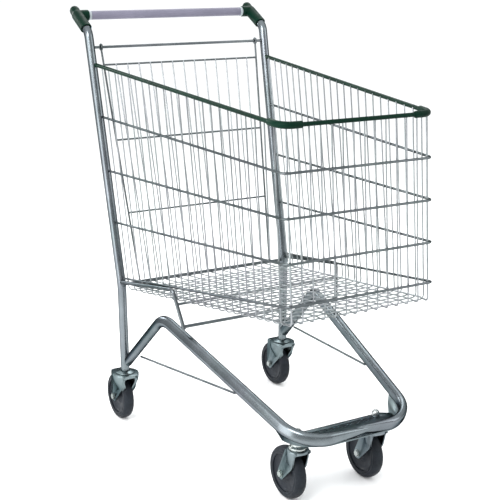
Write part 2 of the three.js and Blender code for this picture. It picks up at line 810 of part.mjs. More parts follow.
function gate() {
  const halfAt = (z) => mix(GATE_FOOT.half, GATE_TOP_HALF, (z - GATE_FOOT.z) / (HINGE_Z - GATE_FOOT.z));
  const yAt = (z) => mix(GATE_FOOT.y, HINGE_Y, (z - GATE_FOOT.z) / (HINGE_Z - GATE_FOOT.z));
  const at = (share, z, ahead) => vec(share * halfAt(z), yAt(z) - ahead, z);
  const loopRadius = GATE_LOOP_BORE + GATE_WIRE_RADIUS;
  const pieces = [];
  for (const side of [1, -1]) {
    const circle = [];
    for (let k = 0; k <= 6; k += 1) {
      const angle = (k * Math.PI) / 3;
      const r = loopRadius + GATE_WIRE_RADIUS * Math.cos(angle);
      circle.push([r, GATE_WIRE_RADIUS * Math.sin(angle)]);
    }
    const loop = turnedX(circle, 12);
    const start = at(side, HINGE_Z - loopRadius, 0);
    pieces.push(loop.translate(start.x, HINGE_Y, HINGE_Z));
    pieces.push(rod(start, at(side, GATE_FOOT.z, 0), GATE_WIRE_RADIUS, 6));
  }
  for (const z of [...GATE_RAILS, GATE_FOOT.z]) {
    pieces.push(rod(at(1, z, 0), at(-1, z, 0), GATE_WIRE_RADIUS, 4));
  }
  const ahead = GATE_WIRE_RADIUS + WIRE_RADIUS - 0.6;
  for (let k = 1; k <= GATE_WIRES; k += 1) {
    const share = mix(-1, 1, k / (GATE_WIRES + 1));
    pieces.push(rod(at(share, GATE_RAILS[0] + 2, ahead), at(share, GATE_FOOT.z, ahead), WIRE_RADIUS, 4));
  }
  return join(pieces);
}

// ---- Assembly -----------------------------------------------------------------------------

for (const [word, side] of [["left", 1], ["right", -1]]) {
  add(`upright_${word}`, upright(side), ZINC);
  add(`support_rail_${word}`, supportRail(side), ZINC);
  const tieRear = vec(side * TIE_REAR.x, TIE_REAR.y, TIE_REAR.z);
  const tieFront = vec(side * TIE_FRONT.x, TIE_FRONT.y, TIE_FRONT.z);
  add(`tie_rod_${word}`, rod(tieRear, tieFront, TIE_RADIUS), ZINC);
  add(`basket_side_${word}`, basketSide(side), WIRE_ZINC);
  add(`rim_sleeve_${word}`, rimSleeve(side), GREEN);
  add(`rim_corner_${word}`, cornerBumper(side), GREEN);
  add(`handle_bracket_${word}`, handleBracket(side), GREEN);
  const ringFrom = side * (GRIP_HALF + GAP);
  const ringTo = side * (COLLAR_END_X - GAP);
  add(`grip_ring_${word}`, handlePipe(ringFrom, ringTo, RING_RADIUS, HANDLE_TUBE_RADIUS + GAP), PALE);
  addCaster(`rear_${word}`, side, REAR_CASTER, rearHead());
  addCaster(`front_${word}`, side, FRONT_CASTER, frontHead());
  const { x, y } = FRONT_CASTER;
  add(`kingpin_nut_${word}`, kingpinNut().translate(side * x, y, 0), ZINC);
}

add("chassis_tube", chassis(), ZINC);
add("front_caster_plate", frontPlate(), PRESSED_ZINC);

const strutAt = (share) => vec(
  mix(STRUT_TOP.x, STRUT_FOOT.x, share),
  mix(STRUT_TOP.y, STRUT_FOOT.y, share),
  mix(STRUT_TOP.z, STRUT_FOOT.z, share),
);
const lowerRod = strutAt(0.93);
const floorRod = strutAt(FLOOR_ROD.share);
const rodHalf = (x) => x - RAIL_RADIUS - 4 * GAP;
add("lower_cross_rod", crossRod(rodHalf(lowerRod.x), lowerRod.y, lowerRod.z, CROSS_ROD_RADIUS), ZINC);
add("floor_cross_rod", crossRod(rodHalf(floorRod.x), floorRod.y, floorRod.z, FLOOR_ROD.radius), ZINC);

const betweenUprights = (z) => uprightX(z) - UPRIGHT_RADIUS - 2 * GAP;
add("rear_floor_rod", crossRod(betweenUprights(REAR_ROD.z), REAR_ROD.y, REAR_ROD.z, REAR_ROD.radius), ZINC);
add("gate_hinge_rod", crossRod(betweenUprights(HINGE_Z), HINGE_Y, HINGE_Z, HINGE_ROD_RADIUS), ZINC);
add("rear_gate", gate(), WIRE_ZINC);

add("basket_front", basketFront(), WIRE_ZINC);
add("basket_floor", basketFloor(), WIRE_ZINC);
add("rim_wire", rimWire(), ZINC);
add("rim_sleeve_front", frontSleeve(), GREEN);

const tubeBoreRadius = HANDLE_TUBE_RADIUS - TUBE_WALL;
const handleTube = handlePipe(-HANDLE_TUBE_HALF, HANDLE_TUBE_HALF, HANDLE_TUBE_RADIUS, tubeBoreRadius);
add("handle_tube", handleTube, ZINC);
add("handle_grip", handlePipe(-GRIP_HALF, GRIP_HALF, GRIP_RADIUS, HANDLE_TUBE_RADIUS + GAP), LAVENDER);

export default trolley;
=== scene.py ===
"""Looks for a nesting supermarket trolley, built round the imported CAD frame."""
import math

import bmesh
import bpy
from mathutils import Matrix, Vector


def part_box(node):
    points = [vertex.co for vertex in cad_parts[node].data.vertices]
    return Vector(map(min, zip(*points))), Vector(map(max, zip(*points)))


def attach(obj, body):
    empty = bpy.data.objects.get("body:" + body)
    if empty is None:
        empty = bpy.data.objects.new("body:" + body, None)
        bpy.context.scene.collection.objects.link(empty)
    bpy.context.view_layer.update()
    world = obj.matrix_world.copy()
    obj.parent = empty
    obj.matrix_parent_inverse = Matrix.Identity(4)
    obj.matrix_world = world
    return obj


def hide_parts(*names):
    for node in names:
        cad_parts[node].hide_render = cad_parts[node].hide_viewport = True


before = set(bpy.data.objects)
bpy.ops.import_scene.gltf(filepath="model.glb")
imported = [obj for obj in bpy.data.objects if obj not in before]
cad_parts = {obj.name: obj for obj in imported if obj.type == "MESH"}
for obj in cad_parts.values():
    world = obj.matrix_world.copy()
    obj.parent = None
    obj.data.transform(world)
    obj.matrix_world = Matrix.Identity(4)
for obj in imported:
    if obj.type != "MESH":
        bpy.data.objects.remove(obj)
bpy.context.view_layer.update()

# ---- Driving dimensions, in millimetres, from the CAD source unless a comment says otherwise ----

MM = 0.001
SIDES = ((1, "left"), (-1, "right"))
GAP = 0.3  # between separate pieces that touch

UPRIGHT_RADIUS = 11
TUBE_WALL = 1.5
FOOT_X, FOOT_Y, FOOT_Z = 237, 226, 140
UPRIGHT_BEND_Z = 364
UPRIGHT_LEAN = math.radians(12)
UPRIGHT_SPLAY = 0.011
UPPER_SPLAY = 0.007
TOP_BEND_Z = 984
TOP_LEAN = math.radians(59)
TOP_LENGTH = 40  # beyond the vertex of the top bend
LOWER_BEND_RADIUS, TOP_BEND_RADIUS = 150, 34

HANDLE_Y, HANDLE_Z = 423, 1020
HANDLE_TUBE_RADIUS, HANDLE_TUBE_HALF = 8.5, 239
HANDLE_BORE = 8.8  # of what sits round the handle tube
GRIP_RADIUS = 11
GRIP_HALF = 216
RING_RADIUS = 12
COLLAR_RADIUS = 14
COLLAR_END_X = 223
BRACKET_RADIUS = 14.5
BRACKET_TIP = (441, 1031, 12.5)  # y, z and radius
BRACKET_SLEEVE = 34  # how far a bracket reaches back over its upright's end
MOUTH_PIVOT = 25  # how far behind the upright's end its slanted mouth is cut
MOUTH_LEAN = 0.86  # of the upright's lean at the top

FRONT_HALF = 185
FRONT_Y, FRONT_Z = -461, 484
FRONT_LEAN = 0.0716
RIM_CORNER_RADIUS = 28
HOOP_CORNER_RADIUS = 14
SLEEVE_RADIUS = 4.7
HOOP_RADIUS = 2.75
WIRE_RADIUS = 1.6
RIM = (905, 845)
HOOPS = ((780, 752), (649, 662), (523, 571), (386, 484))
FLOOR = (362, 447)
FLOOR_REAR_Y = 222
FLOOR_WIRE_SPREAD = 214  # from the middle to the outermost long wire, at the rear
SIDE_WIRES = 23  # the real number, where the CAD has about half
FRONT_WIRES = 14  # with the two corner wires
FRONT_PITCH = 26.8
CORNER_WIRE_RADIUS = 2.1
WELD = 0.5  # how far welded wires sink into each other
BUMPER_RADIUS = 7.5
BUMPER_LENGTH = 46

HINGE_Z = 946
HINGE_ROD_RADIUS = 3.25
GATE_LOOP_BORE = 4.1
GATE_WIRE_RADIUS = 2.4
GATE_TOP_HALF = 222
GATE_FOOT_HALF, GATE_FOOT_Y, GATE_FOOT_Z = 191.5, 222, 371.5
GATE_RAILS = (903, 720, 541)
GATE_WIRES = 13

OVAL_WIDTH, OVAL_HEIGHT = 19, 28
CHASSIS_REAR = (234, 212.5, 167.5)
CHASSIS_APEX = (217, 42, 328)
CHASSIS_CORNER = (147, -462.3, 178.5)  # y is 0.7 inside the CAD's, to keep the section in its box
APEX_RADIUS = 60
BOW_RADIUS = 85

RAIL_RADIUS = 4.5
STRUT_TOP = (229, -37, 420.5)
STRUT_FOOT = (213, -61, 327.6)
RAIL_DROP = 9.5
RAIL_OUTSET = 4
CROSS_ROD_RADIUS = 4
LOWER_ROD_SHARE = 0.93  # of the way down the struts
FLOOR_ROD_RADIUS, FLOOR_ROD_SHARE = 3.25, 0.37
REAR_ROD_Y, REAR_ROD_Z = 228, 367
TIE_RADIUS = 2.6
TIE_REAR = (227, 150, 198)
TIE_FRONT = (178, -236, 223.6)

WHEEL_RADIUS = 60
TREAD_HALF = 14
TYRE_BORE = 43
AXLE_RADIUS = 4
FORK_INSIDE = 17.2
FORK_SHEET = 2.5
FORK_TIP = 13
SKIRT_REACH = 46  # how far the crown's skirt runs down before it is as narrow as the sides
KINGPIN_RADIUS = 5
CASTERS = {
    "rear": dict(x=237, y=226, trail=35, crown=134, crown_radius=34, front=-36, rear=46),
    "front": dict(x=104, y=-379, trail=38, crown=130, crown_radius=25, front=-23, rear=20),
}
PLATE_Z = 158
PLATE_SHEET = 3.5
PLATE_REAR_Y = -368
PLATE_REAR_CUT = 18
NOTCH_HALF, NOTCH_DEPTH = 55, 26
PAN_TOP_OUTSET = 2.5  # of the pan's upper edge, outside the bow's line
PAN_SLOPE = 16  # how far inside that line its flat begins
PAN_FADE = 38  # the length over which its side fades out towards the middle


def mix(a, b, t):
    return a + (b - a) * t


def wall_x(z):
    """How far from the middle a side wall's line starts at the rear."""
    return FOOT_X + UPRIGHT_SPLAY * (z - FOOT_Z)


def upright_x(z):
    """How far from the middle an upright's centre line is."""
    return wall_x(z) + UPPER_SPLAY * max(0, z - UPRIGHT_BEND_Z)


def upright_y(z):
    return FOOT_Y + math.tan(UPRIGHT_LEAN) * max(0, z - UPRIGHT_BEND_Z)


def front_y(z):
    return FRONT_Y + FRONT_LEAN * (z - FRONT_Z)


HINGE_Y = upright_y(HINGE_Z)

# How far the CAD moves the whole along Y, read from its hinge rod
rod_low, rod_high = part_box("gate_hinge_rod")
SHIFT_Y = (rod_low.y + rod_high.y) / 2 / MM - HINGE_Y

# ---- Lines, sweeps and turned shapes --------------------------------------------------------


def bent_line(corners, radii, turn=math.pi / 24):
    """Points along straight runs joined by round bends."""
    points = [Vector(c) for c in corners]
    radii = radii if isinstance(radii, (list, tuple)) else [radii] * (len(points) - 2)
    line = [points[0]]
    for k in range(1, len(points) - 1):
        before = (points[k] - points[k - 1]).normalized()
        after = (points[k + 1] - points[k]).normalized()
        angle = before.angle(after)
        if angle < 1e-4:
            line.append(points[k])
            continue
        start = points[k] - before * radii[k - 1] * math.tan(angle / 2)
        inward = (after - before * before.dot(after)).normalized()
        steps = max(2, math.ceil(angle / turn))
        for j in range(steps + 1):
            a = angle * j / steps
            line.append(start + radii[k - 1] * (before * math.sin(a) + inward * (1 - math.cos(a))))
    line.append(points[-1])
    return line


def circle(radius, sides):
    return [
        (radius * math.cos(2 * math.pi * k / sides), radius * math.sin(2 * math.pi * k / sides))
        for k in range(sides)
    ]


def stadium(width, height, steps):
    """A slot shape, taller than wide, with half-round ends."""
    radius, straight = width / 2, (height - width) / 2
    points = []
    for end in (1, -1):
        for k in range(steps + 1):
            a = math.pi * k / steps
            points.append((end * radius * math.cos(a), end * (straight + radius * math.sin(a))))
    return points


def soften(points, radius, steps=3, closed=False):
    """A 2-D outline with its corners rounded."""
    out, count = [], len(points)
    for k, here in enumerate(points):
        if not closed and k in (0, count - 1):
            out.append(here)
            continue
        p = Vector(here)
        a, b = Vector(points[k - 1]) - p, Vector(points[(k + 1) % count]) - p
        reach = min(radius, a.length * 0.45, b.length * 0.45)
        a, b = p + a.normalized() * reach, p + b.normalized() * reach
        for j in range(steps + 1):
            t = j / steps
            q = a * (1 - t) ** 2 + p * 2 * t * (1 - t) + b * t * t
            out.append((q.x, q.y))
    return out


def in_place(offset):
    """Turns millimetres at an origin into metres in the row frame."""
    return Matrix.Scale(MM, 4) @ Matrix.Translation(Vector(offset) + Vector((0, SHIFT_Y, 0)))


class Shell:
    """Closed shells gathered into one mesh, in millimetres."""

    def __init__(self):
        self.verts, self.faces = [], []

    def sweep(self, line, profile, up=(0, 0, 1), bore=None, tip=0, anchor=0):
        """A profile carried along a line, with flat ends, or domed by tip millimetres.
        Its V axis points up at the anchor, and turns with the line from there both ways."""
        line = [Vector(p) for p in line]
        last = len(line) - 1
        tangents = []
        for k in range(last + 1):
            into = (line[k] - line[max(0, k - 1)]).normalized()
            out = (line[min(last, k + 1)] - line[k]).normalized()
            tangents.append((into + out).normalized())
        rises = [None] * (last + 1)
        for order in (range(anchor, last + 1), range(anchor, -1, -1)):
            rise, before = Vector(up), tangents[anchor]
            for k in order:
                rise = before.rotation_difference(tangents[k]) @ rise
                rise = (rise - tangents[k] * rise.dot(tangents[k])).normalized()
                rises[k], before = rise, tangents[k]
        stations = [(line[k], tangents[k], rises[k], 1.0) for k in range(last + 1)]
        if tip:
            for end, sign in ((0, -1), (-1, 1)):
                point, t, rise, _ = stations[end]
                dome = [
                    (point + t * sign * tip * math.sin(a), t, rise, math.cos(a))
                    for a in (math.pi * 0.14, math.pi * 0.27, math.pi * 0.39)
                ]
                stations = dome[::-1] + stations if end == 0 else stations + dome
        outer = self._rings(stations, profile)
        if bore is None:
            n = len(profile)
            self.faces.append(tuple(reversed(range(outer, outer + n))))
            tail = outer + (len(stations) - 1) * n
            self.faces.append(tuple(range(tail, tail + n)))
            return
        inner = self._rings(stations, bore, flip=True)
        n = len(profile)
        for end, sign in ((0, 1), (len(stations) - 1, -1)):
            o, i = outer + end * n, inner + end * n
            for k in range(n):
                m = (k + 1) % n
                quad = (o + k, i + k, i + m, o + m)
                self.faces.append(tuple(reversed(quad)) if sign < 0 else quad)

    def _rings(self, stations, profile, flip=False):
        """Places a profile at each station and joins the rings with faces."""
        start, n = len(self.verts), len(profile)
        for point, t, rise, scale in stations:
            side = rise.cross(t)
            for u, v in profile:
                self.verts.append(point + side * (u * scale) + rise * (v * scale))
        for r in range(len(stations) - 1):
            here, there = start + r * n, start + (r + 1) * n
            for k in range(n):
                m = (k + 1) % n
                quad = (here + k, here + m, there + m, there + k)
                self.faces.append(tuple(reversed(quad)) if flip else quad)
        return start

    def rod(self, line, radius, sides=16, tip=0):
        """A round bar along a line."""
        self.sweep(line, circle(radius, sides), up=(0.31, 0.22, 0.92), tip=tip)

    def lathe(self, profile, centre, axis="z", sides=64, loop=False):
        """A turned shape from (radius, height) pairs, in order of rising height."""
        centre = Vector(centre)

        def place(r, h, a):
            u, v = r * math.cos(a), r * math.sin(a)
            return centre + (Vector((u, v, h)) if axis == "z" else Vector((h, u, v)))

        rings = []
        for r, h in profile:
            if r < 1e-6:
                rings.append([len(self.verts)])
                self.verts.append(place(0, h, 0))
            else:
                rings.append(list(range(len(self.verts), len(self.verts) + sides)))
                self.verts += [place(r, h, 2 * math.pi * k / sides) for k in range(sides)]
        pairs = list(zip(rings, rings[1:])) + ([(rings[-1], rings[0])] if loop else [])
        for a, b in pairs:
            for k in range(sides):
                m = (k + 1) % sides
                if len(a) == 1 and len(b) == 1:
                    break
                if len(a) == 1:
                    self.faces.append((a[0], b[m], b[k]))
                elif len(b) == 1:
                    self.faces.append((a[k], a[m], b[0]))
                else:
                    self.faces.append((a[k], a[m], b[m], b[k]))

    def prism(self, outline, low, high, axis="z"):
        """A flat outline given thickness. Axis z takes (x, y) outlines, axis x takes (y, z)."""
        start, n = len(self.verts), len(outline)
        for h in (low, high):
            for u, v in outline:
                self.verts.append(Vector((u, v, h)) if axis == "z" else Vector((h, u, v)))
        self.faces.append(tuple(reversed(range(start, start + n))))
        self.faces.append(tuple(range(start + n, start + 2 * n)))
        for k in range(n):
            m = (k + 1) % n
            self.faces.append((start + k, start + m, start + n + m, start + n + k))

    def box(self, low, high):
        (x0, y0, z0), (x1, y1, z1) = low, high
        self.prism([(x0, y0), (x1, y0), (x1, y1), (x0, y1)], z0, z1)

    def object(self, name, sharp=35, local=False):
        """A new Blender object in metres, smooth but for edges sharper than the given angle.
        A local one stays in millimetres at its own origin, until in_place() moves it."""
        mesh = bpy.data.meshes.new(name)
        mesh.from_pydata(self.verts, [], self.faces)
        if not local:
            mesh.transform(in_place((0, 0, 0)))
        mesh.update()
        bm = bmesh.new()
        bm.from_mesh(mesh)
        bmesh.ops.recalc_face_normals(bm, faces=bm.faces)
        bm.to_mesh(mesh)
        bm.free()
        obj = bpy.data.objects.new(name, mesh)
        bpy.context.scene.collection.objects.link(obj)
        smooth(mesh, sharp)
        return obj


def smooth(mesh, sharp):
    """Smooth shading, but for edges sharper than an angle in degrees."""
    mesh.polygons.foreach_set("use_smooth", [True] * len(mesh.polygons))
    mesh.set_sharp_from_angle(angle=math.radians(sharp))


def applied(obj, sharp=35):
    """The object with its modifiers made part of its mesh."""
    bpy.context.view_layer.update()
    graph = bpy.context.evaluated_depsgraph_get()
    mesh = bpy.data.meshes.new_from_object(obj.evaluated_get(graph))
    obj.modifiers.clear()
    obj.data = mesh
    smooth(mesh, sharp)
    return obj


def combine(obj, tools, operation, sharp=35):
    """Cuts tools from obj, or joins them to it, and removes them."""
    for tool in tools:
        change = obj.modifiers.new("change", "BOOLEAN")
        change.operation = operation
        change.solver = "MANIFOLD"
        change.object = tool
        applied(obj, sharp)
        bpy.data.objects.remove(tool)
    return obj


def soft_edges(obj, width, angle=35, segments=2):
    """Rounds the edges that are sharper than an angle in degrees."""
    edge = obj.modifiers.new("edge", "BEVEL")
    edge.width = width * MM
    edge.segments = segments
    edge.limit_method = "ANGLE"
    edge.angle_limit = math.radians(angle)
    edge.use_clamp_overlap = True
    return applied(obj, 50)


# ---- Materials ------------------------------------------------------------------------------


class Nodes:
    """A new material and short ways to add nodes to it."""

    MIX_FACTOR, MIX_A, MIX_B, MIX_RESULT = 0, 6, 7, 2  # a Mix node's sockets for colours

    def __init__(self, name):
        self.material = bpy.data.materials.new(name)
        self.material.use_nodes = True
        self.tree = self.material.node_tree
        self.shader = self.tree.nodes["Principled BSDF"]
        self.where = self.tree.nodes.new("ShaderNodeTexCoord").outputs["Object"]

    def link(self, a, b):
        self.tree.links.new(a, b)

    def noise(self, scale, detail=3.0, roughness=0.55, stretch=None):
        node = self.tree.nodes.new("ShaderNodeTexNoise")
        node.inputs["Scale"].default_value = scale
        node.inputs["Detail"].default_value = detail
        node.inputs["Roughness"].default_value = roughness
        source = self.where
        if stretch:
            mapping = self.tree.nodes.new("ShaderNodeMapping")
            mapping.inputs["Scale"].default_value = stretch
            self.link(self.where, mapping.inputs["Vector"])
            source = mapping.outputs["Vector"]
        self.link(source, node.inputs["Vector"])
        return node.outputs["Fac"]

    def cells(self, scale):
        node = self.tree.nodes.new("ShaderNodeTexVoronoi")
        node.inputs["Scale"].default_value = scale
        self.link(self.where, node.inputs["Vector"])
        return node.outputs["Color"]

    def ramp(self, source, stops):
        node = self.tree.nodes.new("ShaderNodeValToRGB")
        elements = node.color_ramp.elements
        while len(elements) < len(stops):
            elements.new(0.5)
        for element, (place, colour) in zip(elements, stops):
            element.position = place
            colour = (colour,) * 3 if isinstance(colour, (int, float)) else colour
            element.color = (*colour, 1)
        self.link(source, node.inputs["Fac"])
        return node.outputs["Color"]

    def span(self, source, low, high, new_low, new_high):
        node = self.tree.nodes.new("ShaderNodeMapRange")
        for key, value in (
            ("From Min", low), ("From Max", high), ("To Min", new_low), ("To Max", new_high),
        ):
            node.inputs[key].default_value = value
        self.link(source, node.inputs["Value"])
        return node.outputs["Result"]

    def blend(self, amount, a, b, kind="MIX"):
        node = self.tree.nodes.new("ShaderNodeMix")
        node.data_type = "RGBA"
        node.blend_type = kind
        for key, value in ((self.MIX_FACTOR, amount), (self.MIX_A, a), (self.MIX_B, b)):
            socket = node.inputs[key]
            if isinstance(value, bpy.types.NodeSocket):
                self.link(value, socket)
            elif key == self.MIX_FACTOR:
                socket.default_value = value
            else:
                socket.default_value = (*value, 1)
        return node.outputs[self.MIX_RESULT]

    def height(self):
        node = self.tree.nodes.new("ShaderNodeSeparateXYZ")
        self.link(self.where, node.inputs[0])
        return node.outputs["Z"]

    def bump(self, source, strength, distance):
        node = self.tree.nodes.new("ShaderNodeBump")
        node.inputs["Strength"].default_value = strength
        node.inputs["Distance"].default_value = distance
        self.link(source, node.inputs["Height"])
        self.link(node.outputs["Normal"], self.shader.inputs["Normal"])

    def finish(self, colour, roughness, metallic=0.0):
        self.link(colour, self.shader.inputs["Base Color"])
        self.link(roughness, self.shader.inputs["Roughness"])
        self.shader.inputs["Metallic"].default_value = metallic
        return self.material


def zinc(name, dark, light, roughness, edge=0.1, spangle=0.0, grime=0.25):
    """Zinc plating: cloudy blue-grey metal, dark seen edge on, dirtier towards the ground."""
    m = Nodes(name)
    colour = m.ramp(m.noise(18, 3, 0.5), ((0.3, dark), (0.7, light)))
    if spangle:
        flakes = m.ramp(m.cells(190), ((0.2, 0.84), (0.8, 1.0)))
        colour = m.blend(spangle, colour, flakes, "MULTIPLY")
    tint = m.ramp(m.noise(7, 2), ((0.35, (0.94, 1.0, 0.99)), (0.65, (1.0, 0.985, 1.03))))
    colour = m.blend(0.9, colour, tint, "MULTIPLY")
    low = m.span(m.height(), 0.30, 0.05, 0.0, grime)
    spots = m.ramp(m.noise(60, 5, 0.6), ((0.52, 0.0), (0.70, 1.0)))
    dirt = m.blend(low, (0, 0, 0), spots)
    colour = m.blend(dirt, colour, tuple(c * 0.6 for c in dark))
    rough = m.span(m.noise(45, 3, 0.5), 0.3, 0.7, roughness - 0.02, roughness + 0.04)
    m.bump(m.noise(420, 3, 0.6, (1, 1, 0.12)), 0.04, 0.0001)
    m.shader.inputs["Specular Tint"].default_value = (edge, edge * 1.02, edge * 1.03, 1)
    return m.finish(colour, rough, 1.0)


def plastic(name, dark, light, roughness, grain=900, grain_depth=0.12, scuffs=0.35, gloss=0.4):
    """Moulded plastic: fine grain, slight colour drift and pale scuffs."""
    m = Nodes(name)
    colour = m.ramp(m.noise(14, 4, 0.6), ((0.3, dark), (0.7, light)))
    marks = m.ramp(m.noise(150, 8, 0.75, (1, 1, 0.35)), ((0.6, 0.0), (0.78, 1.0)))
    amount = m.blend(scuffs, (0, 0, 0), marks)
    colour = m.blend(amount, colour, tuple(min(1, c * 1.6 + 0.03) for c in light))
    rough = m.span(m.noise(90, 4), 0.3, 0.7, roughness - 0.06, roughness + 0.12)
    m.bump(m.noise(grain, 2), grain_depth, 0.0003)
    m.shader.inputs["Specular IOR Level"].default_value = gloss
    return m.finish(colour, rough)


def rubber(name, dark, light):
    """Tyre rubber: dull, mottled, dusty on the tread."""
    m = Nodes(name)
    colour = m.ramp(m.noise(48, 6, 0.65), ((0.3, dark), (0.7, light)))
    dust = m.ramp(m.noise(210, 7, 0.75), ((0.5, 0.0), (0.75, 1.0)))
    amount = m.blend(0.12, (0, 0, 0), dust)
    colour = m.blend(amount, colour, (0.09, 0.1, 0.115))
    m.shader.inputs["Specular IOR Level"].default_value = 0.14
    rough = m.span(m.noise(120, 5), 0.3, 0.7, 0.42, 0.7)
    m.bump(m.noise(700, 4, 0.7), 0.25, 0.0004)
    return m.finish(colour, rough)


LOOKS = {
    "zinc_tube": zinc("zinc_tube", (0.145, 0.162, 0.172), (0.20, 0.22, 0.232), 0.23, 0.0),
    "zinc_rod": zinc("zinc_rod", (0.10, 0.112, 0.117), (0.16, 0.175, 0.18), 0.28, 0.2),
    # The side, front and gate wires get a lighter base colour than the same zinc elsewhere: a painted
    # highlight for the white surroundings that the thin wires reflect
    "zinc_wire": zinc(
        "zinc_wire", (0.24, 0.252, 0.258), (0.34, 0.352, 0.358), 0.30, 0.3, grime=0.2
    ),
    # The hoops and the gate's frame get a darker base colour than the same zinc wire: painted shade,
    # matching how dark these horizontal wires look under the light
    "hoop_wire_painted_shade": zinc(
        "hoop_wire_painted_shade", (0.085, 0.095, 0.098), (0.14, 0.152, 0.156), 0.30, 0.2, grime=0.2
    ),
    "pressed_zinc": zinc(
        "pressed_zinc", (0.15, 0.18, 0.19), (0.22, 0.255, 0.265), 0.30, 0.05, 0.35, 0.4
    ),
    "fastener": zinc("fastener", (0.36, 0.38, 0.37), (0.50, 0.53, 0.51), 0.25, 0.2),
    "green_plastic": plastic(
        "green_plastic", (0.0004, 0.011, 0.006), (0.001, 0.020, 0.011), 0.42, gloss=0.07
    ),
    "grip_plastic": plastic(
        "grip_plastic", (0.145, 0.14, 0.19), (0.185, 0.178, 0.235), 0.45, 1400, 0.2, 0.2, 0.3
    ),
    "pale_plastic": plastic("pale_plastic", (0.28, 0.32, 0.34), (0.40, 0.44, 0.46), 0.4),
    "wheel_hub": plastic(
        "wheel_hub", (0.009, 0.0115, 0.016), (0.019, 0.024, 0.032), 0.5, gloss=0.25
    ),
    "tyre": rubber("tyre", (0.0075, 0.0095, 0.0125), (0.0165, 0.0205, 0.0265)),
}


def finish(obj, look, body, replaces=()):
    """Gives a piece its material, its body, and the CAD nodes that it stands for."""
    obj.data.materials.clear()
    obj.data.materials.append(LOOKS[look])
    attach(obj, body)
    if replaces:
        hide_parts(*replaces)
    return obj


# ---- Uprights, chassis and rods -------------------------------------------------------------

for side, word in SIDES:
    top_x, top_y = side * upright_x(TOP_BEND_Z), upright_y(TOP_BEND_Z)
    line = bent_line(
        [
            (side * FOOT_X, FOOT_Y, FOOT_Z + GAP),
            (side * upright_x(UPRIGHT_BEND_Z), FOOT_Y, UPRIGHT_BEND_Z),
            (top_x, top_y, TOP_BEND_Z),
            (
                top_x,
                top_y + TOP_LENGTH * math.sin(TOP_LEAN),
                TOP_BEND_Z + TOP_LENGTH * math.cos(TOP_LEAN),
            ),
        ],
        [LOWER_BEND_RADIUS, TOP_BEND_RADIUS],
    )
    shell = Shell()
    bore = circle(UPRIGHT_RADIUS - TUBE_WALL, 40)
    shell.sweep(line, circle(UPRIGHT_RADIUS, 40), up=(1, 0, 0), bore=bore)
    finish(shell.object(f"upright_tube_{word}"), "zinc_tube", "frame", [f"upright_{word}"])

# The chassis tube's section is set at the middle of the front bow, so that its halves match
incline = math.atan2(CHASSIS_APEX[2] - CHASSIS_CORNER[2], CHASSIS_APEX[1] - CHASSIS_CORNER[1])
half_line = [CHASSIS_CORNER, CHASSIS_APEX, CHASSIS_REAR]
corners = [(-x, y, z) for x, y, z in reversed(half_line)] + half_line
line = bent_line(corners, [APEX_RADIUS, BOW_RADIUS, BOW_RADIUS, APEX_RADIUS], math.pi / 40)
middle = min(range(len(line)), key=lambda k: abs(line[k].x))
line.insert(middle + 1, Vector((0, CHASSIS_CORNER[1], CHASSIS_CORNER[2])))
shell = Shell()
shell.sweep(
    line,
    stadium(OVAL_WIDTH, OVAL_HEIGHT, 14),
    up=(0, -math.sin(incline), math.cos(incline)),
    bore=stadium(OVAL_WIDTH - 2 * TUBE_WALL, OVAL_HEIGHT - 2 * TUBE_WALL, 14),
    anchor=middle + 1,
)
chassis = shell.object("chassis_bow")
trims = []
for side, word in SIDES:
    tool = Shell()
    x = side * FOOT_X
    tool.rod([(x, FOOT_Y, FOOT_Z - 60), (x, FOOT_Y, FOOT_Z + 160)], UPRIGHT_RADIUS - 0.2, 40)
    trims.append(tool.object(f"trim_{word}"))
combine(chassis, trims, "DIFFERENCE")
finish(chassis, "zinc_tube", "frame", ["chassis_tube"])


def strut_at(share):
    return Vector(STRUT_TOP).lerp(Vector(STRUT_FOOT), share)


def add_rod(name, points, radius, replaces, bend=0.0, sides=24, look="zinc_rod", tip=0.6):
    shell = Shell()
    shell.rod(bent_line(points, bend), radius, sides, tip)
    return finish(shell.object(name), look, "frame", [replaces])


for side, word in SIDES:
    z = HOOPS[3][0] - RAIL_DROP
    rear = (side * (upright_x(z) + RAIL_OUTSET), upright_y(z) - UPRIGHT_RADIUS + 1, z)
    top = (side * STRUT_TOP[0], *STRUT_TOP[1:])
    foot = (side * STRUT_FOOT[0], *STRUT_FOOT[1:])
    add_rod(f"support_rod_{word}", [rear, top, foot], RAIL_RADIUS, f"support_rail_{word}", 14)
    ends = [(side * p[0], p[1], p[2]) for p in (TIE_REAR, TIE_FRONT)]
    add_rod(f"tie_{word}", ends, TIE_RADIUS, f"tie_rod_{word}")

# Cross rods end 1 mm inside the tube or rod that they are welded to
low, mid = strut_at(LOWER_ROD_SHARE), strut_at(FLOOR_ROD_SHARE)
rear, hinge = Vector((0, REAR_ROD_Y, REAR_ROD_Z)), Vector((0, HINGE_Y, HINGE_Z))
to_upright = 1 - UPRIGHT_RADIUS
for name, node, at, half, radius in (
    ("cross_rod_low", "lower_cross_rod", low, low.x - RAIL_RADIUS + 1, CROSS_ROD_RADIUS),
    ("cross_rod_floor", "floor_cross_rod", mid, mid.x - RAIL_RADIUS + 1, FLOOR_ROD_RADIUS),
    ("cross_rod_rear", "rear_floor_rod", rear, upright_x(rear.z) + to_upright, CROSS_ROD_RADIUS),
    ("hinge_rod", "gate_hinge_rod", hinge, upright_x(hinge.z) + to_upright, HINGE_ROD_RADIUS),
):
    add_rod(name, [(half, at.y, at.z), (-half, at.y, at.z)], radius, node)

# ---- Basket ---------------------------------------------------------------------------------


def side_line(side, level, lead):
    """A hoop's two ends along one side wall: on the upright, and at the front corner."""
    rear, front = level
    start = Vector((side * wall_x(rear), upright_y(rear) - lead, rear))
    return start, Vector((side * FRONT_HALF, front_y(front), front))


